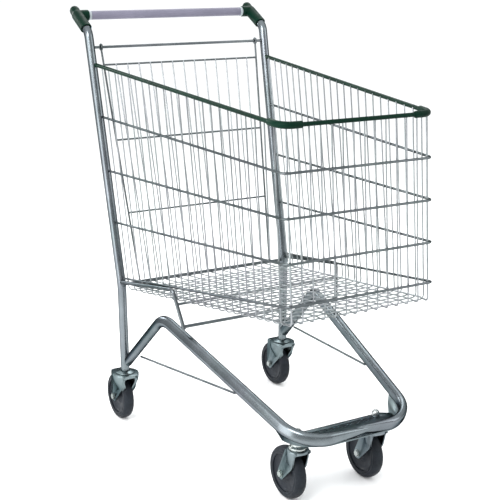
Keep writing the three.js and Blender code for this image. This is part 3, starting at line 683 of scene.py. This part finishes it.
# How far ahead of an upright's centre line a hoop starts: just inside the tube, or as in the CAD,
# whose uprights have twelve sides
ON_UPRIGHT = UPRIGHT_RADIUS - 1.5
CAD_LEAD = UPRIGHT_RADIUS / math.cos(math.pi / 12) / math.cos(UPRIGHT_LEAN) + GAP


def round_front(level, lead):
    """The four corners of a hoop's line, from the left upright to the right one."""
    left, right = side_line(1, level, lead), side_line(-1, level, lead)
    return [left[0], left[1], right[1], right[0]]


shell = Shell()
for level in HOOPS:
    line = bent_line(round_front(level, ON_UPRIGHT), HOOP_CORNER_RADIUS, math.pi / 16)
    shell.rod(line, HOOP_RADIUS, 16)
finish(shell.object("basket_hoops"), "hoop_wire_painted_shade", "frame")

WALL_INSET = HOOP_RADIUS + WIRE_RADIUS - WELD
UNDER_BEND = 11  # where a side wire turns under the floor


def on_side(side, level, share):
    """A point on the inner side of a side wall, at a share of the way to its front."""
    start, end = side_line(side, level, CAD_LEAD)
    return start.lerp(end, share) - Vector((side * WALL_INSET, 0, 0))


# Each wire of the side walls runs down one wall, under the floor and up the other
# The first one stands 3% of the way forward, and the last one 30 mm behind the front corner
wall_rear, wall_front = side_line(1, FLOOR, CAD_LEAD)
first, last = 0.03, 1 - 30 / (wall_rear - wall_front).length
shell = Shell()
for k in range(SIDE_WIRES):
    share = mix(first, last, k / (SIDE_WIRES - 1))
    points = []
    for side in (1, -1):
        top = on_side(side, RIM, share)
        foot = on_side(side, FLOOR, share) - Vector((0, 0, 2 * WIRE_RADIUS + 1.0))
        points += [top, foot] if side == 1 else [foot, top]
    shell.rod(bent_line(points, UNDER_BEND, math.pi / 12), WIRE_RADIUS, 10)
finish(
    shell.object("basket_side_wires"), "zinc_wire", "frame", ["basket_side_left", "basket_side_right"]
)

# Each wire of the front wall bends under into the floor and runs back to the rear rod
shell = Shell()
half = (FRONT_WIRES - 1) / 2 * FRONT_PITCH
for k in range(FRONT_WIRES):
    x = half - k * FRONT_PITCH
    thick = CORNER_WIRE_RADIUS if k in (0, FRONT_WIRES - 1) else WIRE_RADIUS
    inset = HOOP_RADIUS + thick - WELD
    rear_z, front_z = FLOOR
    rear_x = x * FLOOR_WIRE_SPREAD / half
    slope = (rear_z - front_z) / (FLOOR_REAR_Y - (front_y(front_z) + inset))
    points = [
        (x, front_y(RIM[1]) + inset, RIM[1] - 1),
        (x, front_y(front_z) + inset, front_z - 5),
        (mix(x, rear_x, 0.06), front_y(front_z) + 34, front_z + 34 * slope + 0.8),
        (rear_x, FLOOR_REAR_Y + 4, rear_z + 1.2),
    ]
    shell.rod(bent_line(points, [8.5, 40], math.pi / 14), thick, 10)
finish(shell.object("basket_front_wires"), "zinc_wire", "frame", ["basket_front", "basket_floor"])

# ---- Rim ------------------------------------------------------------------------------------


def along_rim(side, from_corner):
    """A point on a side's rim, at a distance behind the front corner."""
    start, end = side_line(side, RIM, CAD_LEAD)
    return end.lerp(start, from_corner / (end - start).length)


for side, word in SIDES:
    shell = Shell()
    start = side_line(side, RIM, CAD_LEAD)[0]
    shell.rod([start, along_rim(side, BUMPER_LENGTH + GAP)], SLEEVE_RADIUS, 28)
    finish(shell.object(f"rim_cover_{word}"), "green_plastic", "frame", [f"rim_sleeve_{word}"])
    shell = Shell()
    corner = side_line(side, RIM, 0)[1]
    inner = (side * (FRONT_HALF - BUMPER_LENGTH), corner.y, corner.z)
    line = bent_line([along_rim(side, BUMPER_LENGTH), corner, inner], RIM_CORNER_RADIUS)
    shell.rod(line, BUMPER_RADIUS, 32)
    bumper = soft_edges(shell.object(f"bumper_{word}"), 2.2, 50, 3)
    finish(bumper, "green_plastic", "frame", [f"rim_corner_{word}"])
corner = side_line(1, RIM, 0)[1]
half = FRONT_HALF - BUMPER_LENGTH - GAP
shell = Shell()
shell.rod([(half, corner.y, corner.z), (-half, corner.y, corner.z)], SLEEVE_RADIUS, 28)
finish(shell.object("rim_cover_front"), "green_plastic", "frame", ["rim_sleeve_front"])
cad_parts["rim_wire"].data.materials.clear()
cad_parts["rim_wire"].data.materials.append(LOOKS["zinc_rod"])

# ---- Handle ---------------------------------------------------------------------------------


def handle_pipe(name, start, end, radius, bore, look, node, edge=0.0):
    """A length of tube along the handle's line, with its rims rounded by edge millimetres."""
    shell = Shell()
    line = [(start, HANDLE_Y, HANDLE_Z), (end, HANDLE_Y, HANDLE_Z)]
    shell.sweep(line, circle(radius, 48), bore=circle(bore, 48))
    obj = shell.object(name)
    if edge:
        soft_edges(obj, edge, 50)
    return finish(obj, look, "frame", [node])


handle_pipe(
    "handle_bar", -HANDLE_TUBE_HALF, HANDLE_TUBE_HALF, HANDLE_TUBE_RADIUS,
    HANDLE_TUBE_RADIUS - TUBE_WALL, "zinc_tube", "handle_tube",
)
handle_pipe(
    "grip", -GRIP_HALF, GRIP_HALF, GRIP_RADIUS, HANDLE_BORE, "grip_plastic", "handle_grip", 0.6
)


def ball(shell, centre, radius):
    steps = 20
    profile = [
        (radius * math.sin(math.pi * k / steps), -radius * math.cos(math.pi * k / steps))
        for k in range(steps + 1)
    ]
    profile[0], profile[-1] = (0, -radius), (0, radius)
    shell.lathe(profile, centre, sides=40)


for side, word in SIDES:
    handle_pipe(
        f"grip_end_{word}", side * (GRIP_HALF + GAP), side * (COLLAR_END_X - GAP),
        RING_RADIUS, HANDLE_BORE, "pale_plastic", f"grip_ring_{word}", 0.7,
    )
    x = side * upright_x(TOP_BEND_Z)
    along = Vector((0, math.sin(TOP_LEAN), math.cos(TOP_LEAN)))
    bend = Vector((x, upright_y(TOP_BEND_Z), TOP_BEND_Z))
    end = bend + along * TOP_LENGTH
    mouth = end - along * BRACKET_SLEEVE
    crossing = Vector((x, HANDLE_Y, HANDLE_Z))
    tip_y, tip_z, tip_radius = BRACKET_TIP
    shell = Shell()
    shell.rod([mouth, crossing], BRACKET_RADIUS, 40)
    ball(shell, crossing, BRACKET_RADIUS)
    shell.rod([crossing, (x, tip_y, tip_z)], tip_radius, 40)
    ball(shell, (x, tip_y, tip_z), tip_radius)
    shell.rod([crossing, (side * COLLAR_END_X, HANDLE_Y, HANDLE_Z)], COLLAR_RADIUS, 40)
    bracket = shell.object(f"bracket_{word}")
    skin = bracket.modifiers.new("skin", "REMESH")
    skin.mode, skin.voxel_size = "VOXEL", 0.9 * MM
    relax = bracket.modifiers.new("ease", "SMOOTH")
    relax.factor, relax.iterations = 0.5, 10
    applied(bracket, 60)
    tools = []
    shell = Shell()
    shell.rod([mouth - along * 30, end + along * GAP], UPRIGHT_RADIUS + GAP, 40)
    tools.append(shell.object("socket"))
    shell = Shell()
    bore_ends = (HANDLE_TUBE_HALF + GAP, COLLAR_END_X - 5)
    shell.rod([(side * at, HANDLE_Y, HANDLE_Z) for at in bore_ends], HANDLE_BORE, 40)
    tools.append(shell.object("tube_bore"))
    shell = Shell()
    shell.box((-300, -60, -80), (300, 60, 0))
    slant = shell.object("slant")
    pivot = (end - along * MOUTH_PIVOT + Vector((0, SHIFT_Y, 0))) * MM
    lean = Matrix.Rotation(-TOP_LEAN * MOUTH_LEAN, 4, "X")
    slant.data.transform(Matrix.Translation(-Vector((0, SHIFT_Y * MM, 0))))
    slant.matrix_world = Matrix.Translation(pivot) @ lean
    tools.append(slant)
    combine(bracket, tools, "DIFFERENCE", 50)
    finish(bracket, "green_plastic", "frame", [f"handle_bracket_{word}"])

# ---- Gate -----------------------------------------------------------------------------------


def gate_point(share, z, ahead=0.0):
    """A point on the gate, from its right side at -1 to its left at 1."""
    t = (z - GATE_FOOT_Z) / (HINGE_Z - GATE_FOOT_Z)
    half = mix(GATE_FOOT_HALF, GATE_TOP_HALF, t)
    return Vector((share * half, mix(GATE_FOOT_Y, HINGE_Y, t) - ahead, z))


shell = Shell()
loop_radius = GATE_LOOP_BORE + GATE_WIRE_RADIUS
for side in (1, -1):
    start = gate_point(side, HINGE_Z - loop_radius)
    ring = [(loop_radius + u, v) for u, v in circle(GATE_WIRE_RADIUS, 12)]
    shell.lathe(ring, (start.x, HINGE_Y, HINGE_Z), "x", 32, loop=True)
    shell.rod([start, gate_point(side, GATE_FOOT_Z)], GATE_WIRE_RADIUS, 14)
for z in (*GATE_RAILS, GATE_FOOT_Z):
    shell.rod([gate_point(1, z), gate_point(-1, z)], GATE_WIRE_RADIUS, 14)
finish(shell.object("gate_panel"), "hoop_wire_painted_shade", "gate", ["rear_gate"])
ahead = GATE_WIRE_RADIUS + WIRE_RADIUS - WELD
shell = Shell()
for k in range(1, GATE_WIRES + 1):
    share = mix(-1, 1, k / (GATE_WIRES + 1))
    line = [gate_point(share, GATE_RAILS[0] + 2, ahead), gate_point(share, GATE_FOOT_Z, ahead)]
    shell.rod(line, WIRE_RADIUS, 10, tip=0.8)
finish(shell.object("gate_wires"), "zinc_wire", "gate")

# ---- Front plate ----------------------------------------------------------------------------


def plate_plan(side, inset, rear_y=PLATE_REAR_Y):
    """The bow's line in plan, moved inwards, from behind one corner to the middle."""
    slope = (CHASSIS_APEX[0] - CHASSIS_CORNER[0]) / (CHASSIS_APEX[1] - CHASSIS_CORNER[1])
    x, y = CHASSIS_CORNER[0] - inset, CHASSIS_CORNER[1] + inset
    corners = [(side * (x + slope * (rear_y - y)), rear_y, 0), (side * x, y, 0), (0, y, 0)]
    return bent_line(corners, BOW_RADIUS - inset, math.pi / 48)


def evened(line, count):
    """The same line with evenly spaced points."""
    lengths = [0]
    for a, b in zip(line, line[1:]):
        lengths.append(lengths[-1] + (b - a).length)
    points, k = [], 0
    for j in range(count + 1):
        goal = lengths[-1] * j / count
        while k < len(lengths) - 2 and lengths[k + 1] < goal:
            k += 1
        points.append(line[k].lerp(line[k + 1], (goal - lengths[k]) / (lengths[k + 1] - lengths[k])))
    return points


def ease(t):
    """From 0 to 1, slow at both ends."""
    t = min(1, max(0, t))
    return t * t * (3 - 2 * t)


def pan_side(side):
    """The sheet from the flat of the pan up to the tube, fading out at the middle of the bow."""
    count = 60
    upper = evened(plate_plan(side, -PAN_TOP_OUTSET, PLATE_REAR_Y + 20), count)
    lower = evened(plate_plan(side, PAN_SLOPE - 2, PLATE_REAR_Y - 10), count)
    shell = Shell()
    for k, (up, down) in enumerate(zip(upper, lower)):
        top = CHASSIS_CORNER[2] + math.tan(incline) * (up.y - CHASSIS_CORNER[1])
        top -= (OVAL_HEIGHT / 2 - 1.6) / math.cos(incline)  # just inside the tube's underside
        fade = ease((NOTCH_HALF + PAN_FADE - abs(down.x)) / PAN_FADE)
        bottom = mix(PLATE_Z + 0.4, max(top - 3.4, PLATE_Z + 0.4), fade)
        high, base = Vector((up.x, up.y, top)), Vector((down.x, down.y, bottom))
        base = high.lerp(base, 1 - 0.75 * fade)
        across = (base - high).cross(lower[min(k + 1, count)] - lower[max(k - 1, 0)]).normalized()
        across *= side * (PLATE_SHEET / 2 - 0.4)
        belly = high.lerp(base, 0.55) + across.normalized() * 3.0 * (1 - fade)
        shell.verts += [
            base - across, belly - across, high - across, high + across, belly + across, base + across,
        ]
    n = 6
    for r in range(count):
        for j in range(n):
            m = (j + 1) % n
            a, b = r * n, (r + 1) * n
            shell.faces.append((a + j, a + m, b + m, b + j))
    tail = count * n
    shell.faces += [
        (5, 4, 1, 0), (4, 3, 2, 1),
        (tail, tail + 1, tail + 4, tail + 5), (tail + 1, tail + 2, tail + 3, tail + 4),
    ]
    return shell.object("pan_side")


flat = [p for p in plate_plan(1, PAN_SLOPE) if abs(p.x) > 1]
forward = (flat[1] - flat[0]).normalized() * PLATE_REAR_CUT * 0.6
left = [flat[0] - Vector((PLATE_REAR_CUT, 0, 0)), flat[0] + forward, *flat[1:]]
left = [(p.x, p.y) for p in left]
shell = Shell()
shell.prism(left + [(-x, y) for x, y in reversed(left)], PLATE_Z, PLATE_Z + PLATE_SHEET)
plate = shell.object("front_plate")
tools = []
for side, word in SIDES:
    shell = Shell()
    c = CASTERS["front"]
    shell.rod([(side * c["x"], c["y"], PLATE_Z - 5), (side * c["x"], c["y"], PLATE_Z + 10)], 5.3, 32)
    tools.append(shell.object(f"hole_{word}"))
shell = Shell()
y = CHASSIS_CORNER[1] + NOTCH_DEPTH
outline = [(-NOTCH_HALF - 25, y - 60), (NOTCH_HALF + 25, y - 60), (NOTCH_HALF, y), (-NOTCH_HALF, y)]
shell.prism(soften(outline, 12, 5, True), PLATE_Z - 30, PLATE_Z + 4.4)
tools.append(shell.object("notch"))
combine(plate, tools, "DIFFERENCE")
combine(plate, [pan_side(1), pan_side(-1)], "UNION")
soft_edges(plate, 0.6)
finish(plate, "pressed_zinc", "frame", ["front_caster_plate"])

# ---- Casters --------------------------------------------------------------------------------


def fork(name, c):
    """A pressed crown whose skirt runs down into two flat sides, about its swivel axis."""
    crown, radius = c["crown"], c["crown_radius"]
    trail, front, rear = c["trail"], c["front"], c["rear"]
    low, under = crown - SKIRT_REACH, crown - FORK_SHEET
    foot = FORK_INSIDE + FORK_SHEET / 2

    def skirt(shrink, base):
        points = [(0, base), (foot - shrink, base)]
        for k in range(1, 13):
            t = k / 12
            r = mix(foot, radius, math.sin(math.pi / 2 * t) ** 1.15)
            points.append((r - shrink, mix(low, under - 5, t)))
        return points + [(radius - shrink, under - 3)]

    def turned(profile, part):
        shell = Shell()
        shell.lathe(profile, (0, 0, 0), sides=96)
        return shell.object(part, local=True)

    def side_prism(outline, start, end, part):
        shell = Shell()
        shell.prism(outline, start, end, "x")
        return shell.object(part, local=True)

    def bore(start, end, size, part):
        shell = Shell()
        shell.rod([start, end], size, 40)
        return shell.object(part, local=True)

    def block(start, end, part):
        shell = Shell()
        shell.box(start, end)
        return shell.object(part, local=True)

    outer = skirt(0, low)
    outer += [(radius, crown - 2), (radius - 0.6, crown - 0.6), (radius - 2, crown), (0, crown)]
    inner = skirt(FORK_SHEET, low - 1)
    inner += [(radius - FORK_SHEET, under - 1), (radius - 4, under), (0, under)]
    tip = trail - FORK_TIP
    # The front edge of both sides, from the crown down to the axle
    edge = [
        (front, crown - 6),
        (front + 7, crown - 10),
        (front + 16, WHEEL_RADIUS - 5 + tip - front - 16),
        (tip, WHEEL_RADIUS - 5),
    ]
    ahead = soften([(-80, crown - 6), *edge, (tip, 0), (-80, 0)], 9, 6, True)
    wide = foot - 0.3
    made = turned(outer, name)
    cuts = [
        turned(inner, "hollow"),
        block((-wide, 0.3, 0), (wide, 100, under + 0.4), "slot"),
        side_prism(ahead, -100, 100, "ahead"),
    ]
    combine(made, cuts, "DIFFERENCE")
    outline = [(front, crown - 0.3), *edge]
    for k in range(1, 13):
        a = math.pi + k * math.pi / 12
        outline.append((trail + FORK_TIP * math.cos(a), WHEEL_RADIUS + FORK_TIP * math.sin(a)))
    outline += [(rear, crown - 5), (rear - 6, crown - 0.3)]
    outline = soften(outline, 6, 3, True)
    parts = [
        block((-foot - 0.7, front + 2, under - 0.15), (foot + 0.7, rear - 6.5, crown - 0.15), "top")
    ]
    for start in (FORK_INSIDE, -FORK_INSIDE - FORK_SHEET):
        wall = side_prism(outline, start, start + FORK_SHEET, "wall")
        combine(wall, [turned(inner, "hollow")], "DIFFERENCE")
        parts.append(wall)
    combine(made, parts, "UNION")
    bores = [
        bore((0, 0, crown - 10), (0, 0, crown + 10), KINGPIN_RADIUS + 0.6, "pin"),
        bore((-40, trail, WHEEL_RADIUS), (40, trail, WHEEL_RADIUS), AXLE_RADIUS + GAP, "axle"),
    ]
    return combine(made, bores, "DIFFERENCE")


def swivel_head(name, c, upper, x):
    """The part that the fork turns on: a flange under its crown, a pin, and the given upper part."""
    below, above = c["crown"] - FORK_SHEET - GAP, c["crown"] + GAP
    profile = [(0, below - 3), (8, below - 3), (8, below)]
    profile += [(KINGPIN_RADIUS, below), (KINGPIN_RADIUS, above)]
    shell = Shell()
    shell.lathe(soften(profile + upper, 0.8), (x, c["y"], 0), sides=72)
    return shell.object(name, 50)


HEXAGON_TURN = 0.3  # in radians, so that no flat lies level


def hexagon(shell, x, centre_y, centre_z, across, start, end):
    """A bolt head or nut along X with chamfered corners on its outer face."""
    radius = across / math.sqrt(3)
    rings = []
    for h, scale in ((start, 1.0), (mix(start, end, 0.75), 1.0), (end, 0.9)):
        rings.append(len(shell.verts))
        for k in range(6):
            a = math.pi * k / 3 + HEXAGON_TURN
            u, v = radius * scale * math.cos(a), radius * scale * math.sin(a)
            shell.verts.append(Vector((x + h, centre_y + u, centre_z + v)))
    for a, b in zip(rings, rings[1:]):
        for k in range(6):
            m = (k + 1) % 6
            shell.faces.append((a + k, a + m, b + m, b + k))
    shell.faces.append(tuple(reversed(range(rings[0], rings[0] + 6))))
    shell.faces.append(tuple(range(rings[-1], rings[-1] + 6)))


WASHER_RADIUS, WASHER_SHEET = 8.4, 0.9
ACROSS_FLATS = 12.5


def axle_bolt(name, x, y):
    """A bolt with a head on the right, a nut on the left and a washer on each side."""
    seat = FORK_INSIDE + FORK_SHEET + GAP
    shell = Shell()
    at = (x, y, WHEEL_RADIUS)
    shank = [
        (0, -seat - 4.2), (3.6, -seat - 4.2), (AXLE_RADIUS, -seat - 3.6),
        (AXLE_RADIUS, seat + 3.9), (3.4, seat + 4.6), (0, seat + 4.6),
    ]
    shell.lathe(shank, at, "x", 32)
    face = seat + WASHER_SHEET
    for side in (1, -1):
        washer = [(AXLE_RADIUS, side * seat), (WASHER_RADIUS, side * seat)]
        washer += [(WASHER_RADIUS, side * face), (AXLE_RADIUS, side * face)]
        shell.lathe(washer, at, "x", 40, loop=True)
    hexagon(shell, x, y, WHEEL_RADIUS, ACROSS_FLATS, face, seat + 4.0)
    hexagon(shell, x, y, WHEEL_RADIUS, ACROSS_FLATS, -face, -seat - 4.8)
    return shell.object(name, 30)


def tyre(name, x, y):
    """A tyre with a round tread and a shallow groove in each side."""
    wide = -TREAD_HALF
    half = [
        (TYRE_BORE, -13.4), (44.2, wide), (47.2, wide), (47.9, -13.3), (48.9, -13.3), (49.6, wide),
        (51.5, wide), (54, -13.3), (56.4, -11.7), (58.2, -9.3), (59.3, -6.4), (59.85, -3.2),
        (WHEEL_RADIUS, 0),
    ]
    profile = half + [(r, -h) for r, h in reversed(half[:-1])]
    shell = Shell()
    shell.lathe(profile, (x, y, WHEEL_RADIUS), "x", 96, loop=True)
    return shell.object(name, 50)


def wheel_hub(name, x, y):
    """A dished disc between a long boss and the rim that carries the tyre."""
    wide = -TREAD_HALF
    half = [
        (4.6, wide), (11, wide), (11.6, -13.4), (12, -11.5), (14.5, -11), (15, -10.4), (21, -5.4),
        (23, -5), (36, -6), (38.5, -7.2), (40.5, -10), (42.7, -10.2),
    ]
    profile = half + [(r, -h) for r, h in reversed(half)]
    shell = Shell()
    shell.lathe(profile, (x, y, WHEEL_RADIUS), "x", 72, loop=True)
    return shell.object(name, 40)


for place, c in CASTERS.items():
    pressing = fork(f"pressing_{place}", c)
    for side, word in SIDES:
        spot = f"{place}_{word}"
        x, axle_y = side * c["x"], c["y"] + c["trail"]
        piece = bpy.data.objects.new(f"fork_sheet_{spot}", pressing.data.copy())
        bpy.context.scene.collection.objects.link(piece)
        piece.data.transform(in_place((x, c["y"], 0)))
        soft_edges(piece, 0.5)
        finish(piece, "pressed_zinc", f"swivel_{spot}", [f"fork_{spot}"])
        above = c["crown"] + GAP
        if place == "rear":
            stem, stem_top = UPRIGHT_RADIUS - TUBE_WALL - 4 * GAP, FOOT_Z + 34
            upper = [
                (24, above), (24, above + 2), (14, FOOT_Z), (stem, FOOT_Z), (stem, stem_top),
                (0, stem_top),
            ]
        else:
            top, pin_top = PLATE_Z - GAP, PLATE_Z + PLATE_SHEET + 7
            upper = [
                (20, above), (20, above + 5), (14, above + 9), (14, top), (KINGPIN_RADIUS, top),
                (KINGPIN_RADIUS, pin_top), (0, pin_top),
            ]
        head = swivel_head(f"head_{spot}", c, upper, x)
        look = "pressed_zinc" if place == "rear" else "fastener"
        finish(head, look, "frame", [f"caster_head_{spot}"])
        bolt = axle_bolt(f"bolt_{spot}", x, axle_y)
        finish(bolt, "fastener", f"swivel_{spot}", [f"axle_bolt_{spot}"])
        tread = tyre(f"tread_{spot}", x, axle_y)
        finish(tread, "tyre", f"wheel_{spot}", [f"tyre_{spot}"])
        hub = wheel_hub(f"hub_{spot}", x, axle_y)
        finish(hub, "wheel_hub", f"wheel_{spot}", [f"wheel_hub_{spot}"])
    bpy.data.objects.remove(pressing)

# The domed nuts on the ends of the front casters' pins
c = CASTERS["front"]
seat = PLATE_Z + PLATE_SHEET + GAP
for side, word in SIDES:
    shell = Shell()
    dome = [
        (5.3, seat), (9, seat), (9, seat + 7.6), (8.2, seat + 9.6), (7.2, seat + 11.7),
        (5.4, seat + 13.6), (2.9, seat + 14.7), (0, seat + 15),
    ]
    shell.lathe([(0, seat + 7.5), (5.3, seat + 7.5), *dome], (side * c["x"], c["y"], 0), sides=48)
    finish(shell.object(f"nut_{word}", 50), "fastener", "frame", [f"kingpin_nut_{word}"])

# ---- Floor, light and camera ----------------------------------------------------------------

bpy.ops.mesh.primitive_plane_add(size=120, location=(0, 0, 0))
floor = bpy.context.object
floor.name = "studio_floor"
m = Nodes("studio_floor")
paint = m.ramp(m.noise(0.6, 3), ((0.3, 0.955), (0.7, 0.965)))
m.finish(paint, m.span(m.noise(2, 2), 0.3, 0.7, 0.75, 0.85))
floor.data.materials.append(m.material)

# A sky that is darkest just above the horizon and brightest overhead
world = bpy.data.worlds.new("studio")
bpy.context.scene.world = world
world.use_nodes = True
tree = world.node_tree
background = tree.nodes["Background"]
where = tree.nodes.new("ShaderNodeTexCoord")
split = tree.nodes.new("ShaderNodeSeparateXYZ")
ramp = tree.nodes.new("ShaderNodeValToRGB")
span = tree.nodes.new("ShaderNodeMapRange")
span.inputs["From Min"].default_value, span.inputs["From Max"].default_value = -0.1, 1.0
stops = ((0.0, 0.9), (0.12, 0.55), (0.32, 0.66), (0.55, 0.95), (0.8, 1.3), (1.0, 1.4))
while len(ramp.color_ramp.elements) < len(stops):
    ramp.color_ramp.elements.new(0.5)
for element, (place, value) in zip(ramp.color_ramp.elements, stops):
    element.position = place
    element.color = (value * 0.98, value, value * 1.01, 1)
tree.links.new(where.outputs["Generated"], split.inputs[0])
tree.links.new(split.outputs["Z"], span.inputs["Value"])
tree.links.new(span.outputs["Result"], ramp.inputs["Fac"])
tree.links.new(ramp.outputs["Color"], background.inputs["Color"])
background.inputs["Strength"].default_value = 1.0

TARGET = Vector((0, SHIFT_Y * MM, 0.476))


def area_light(name, place, size, power):
    """A soft light aimed at the trolley, in metres and watts."""
    data = bpy.data.lights.new(name, "AREA")
    data.shape, data.size, data.size_y = "RECTANGLE", *size
    data.energy = power
    light = bpy.data.objects.new(name, data)
    bpy.context.scene.collection.objects.link(light)
    light.location = place
    light.rotation_mode = "QUATERNION"
    light.rotation_quaternion = (TARGET - Vector(place)).to_track_quat("-Z", "Y")
    light.visible_camera = False


area_light("key", (-2.6, -1.8, 2.9), (1.8, 1.8), 90)
area_light("side", (-2.8, -0.3, 1.1), (2.0, 2.1), 45)
area_light("fill", (2.6, -2.4, 2.0), (2.0, 2.4), 30)
area_light("back", (-1.3, 2.9, 1.7), (1.3, 1.1), 45)
area_light("top", (0.9, 2.0, 3.0), (2.0, 1.6), 40)

camera_data = bpy.data.cameras.new("camera")
camera = bpy.data.objects.new("camera", camera_data)
bpy.context.scene.collection.objects.link(camera)
camera_data.sensor_width, camera_data.lens = 36, 80.2
camera_data.clip_start, camera_data.clip_end = 0.05, 200
camera.location = Vector((-1.327, -2.244 + SHIFT_Y * MM, 1.155))
camera.rotation_mode = "QUATERNION"
camera.rotation_quaternion = (TARGET - camera.location).to_track_quat("-Z", "Y")
bpy.context.scene.camera = camera
bpy.context.scene.view_settings.view_transform = "Standard"
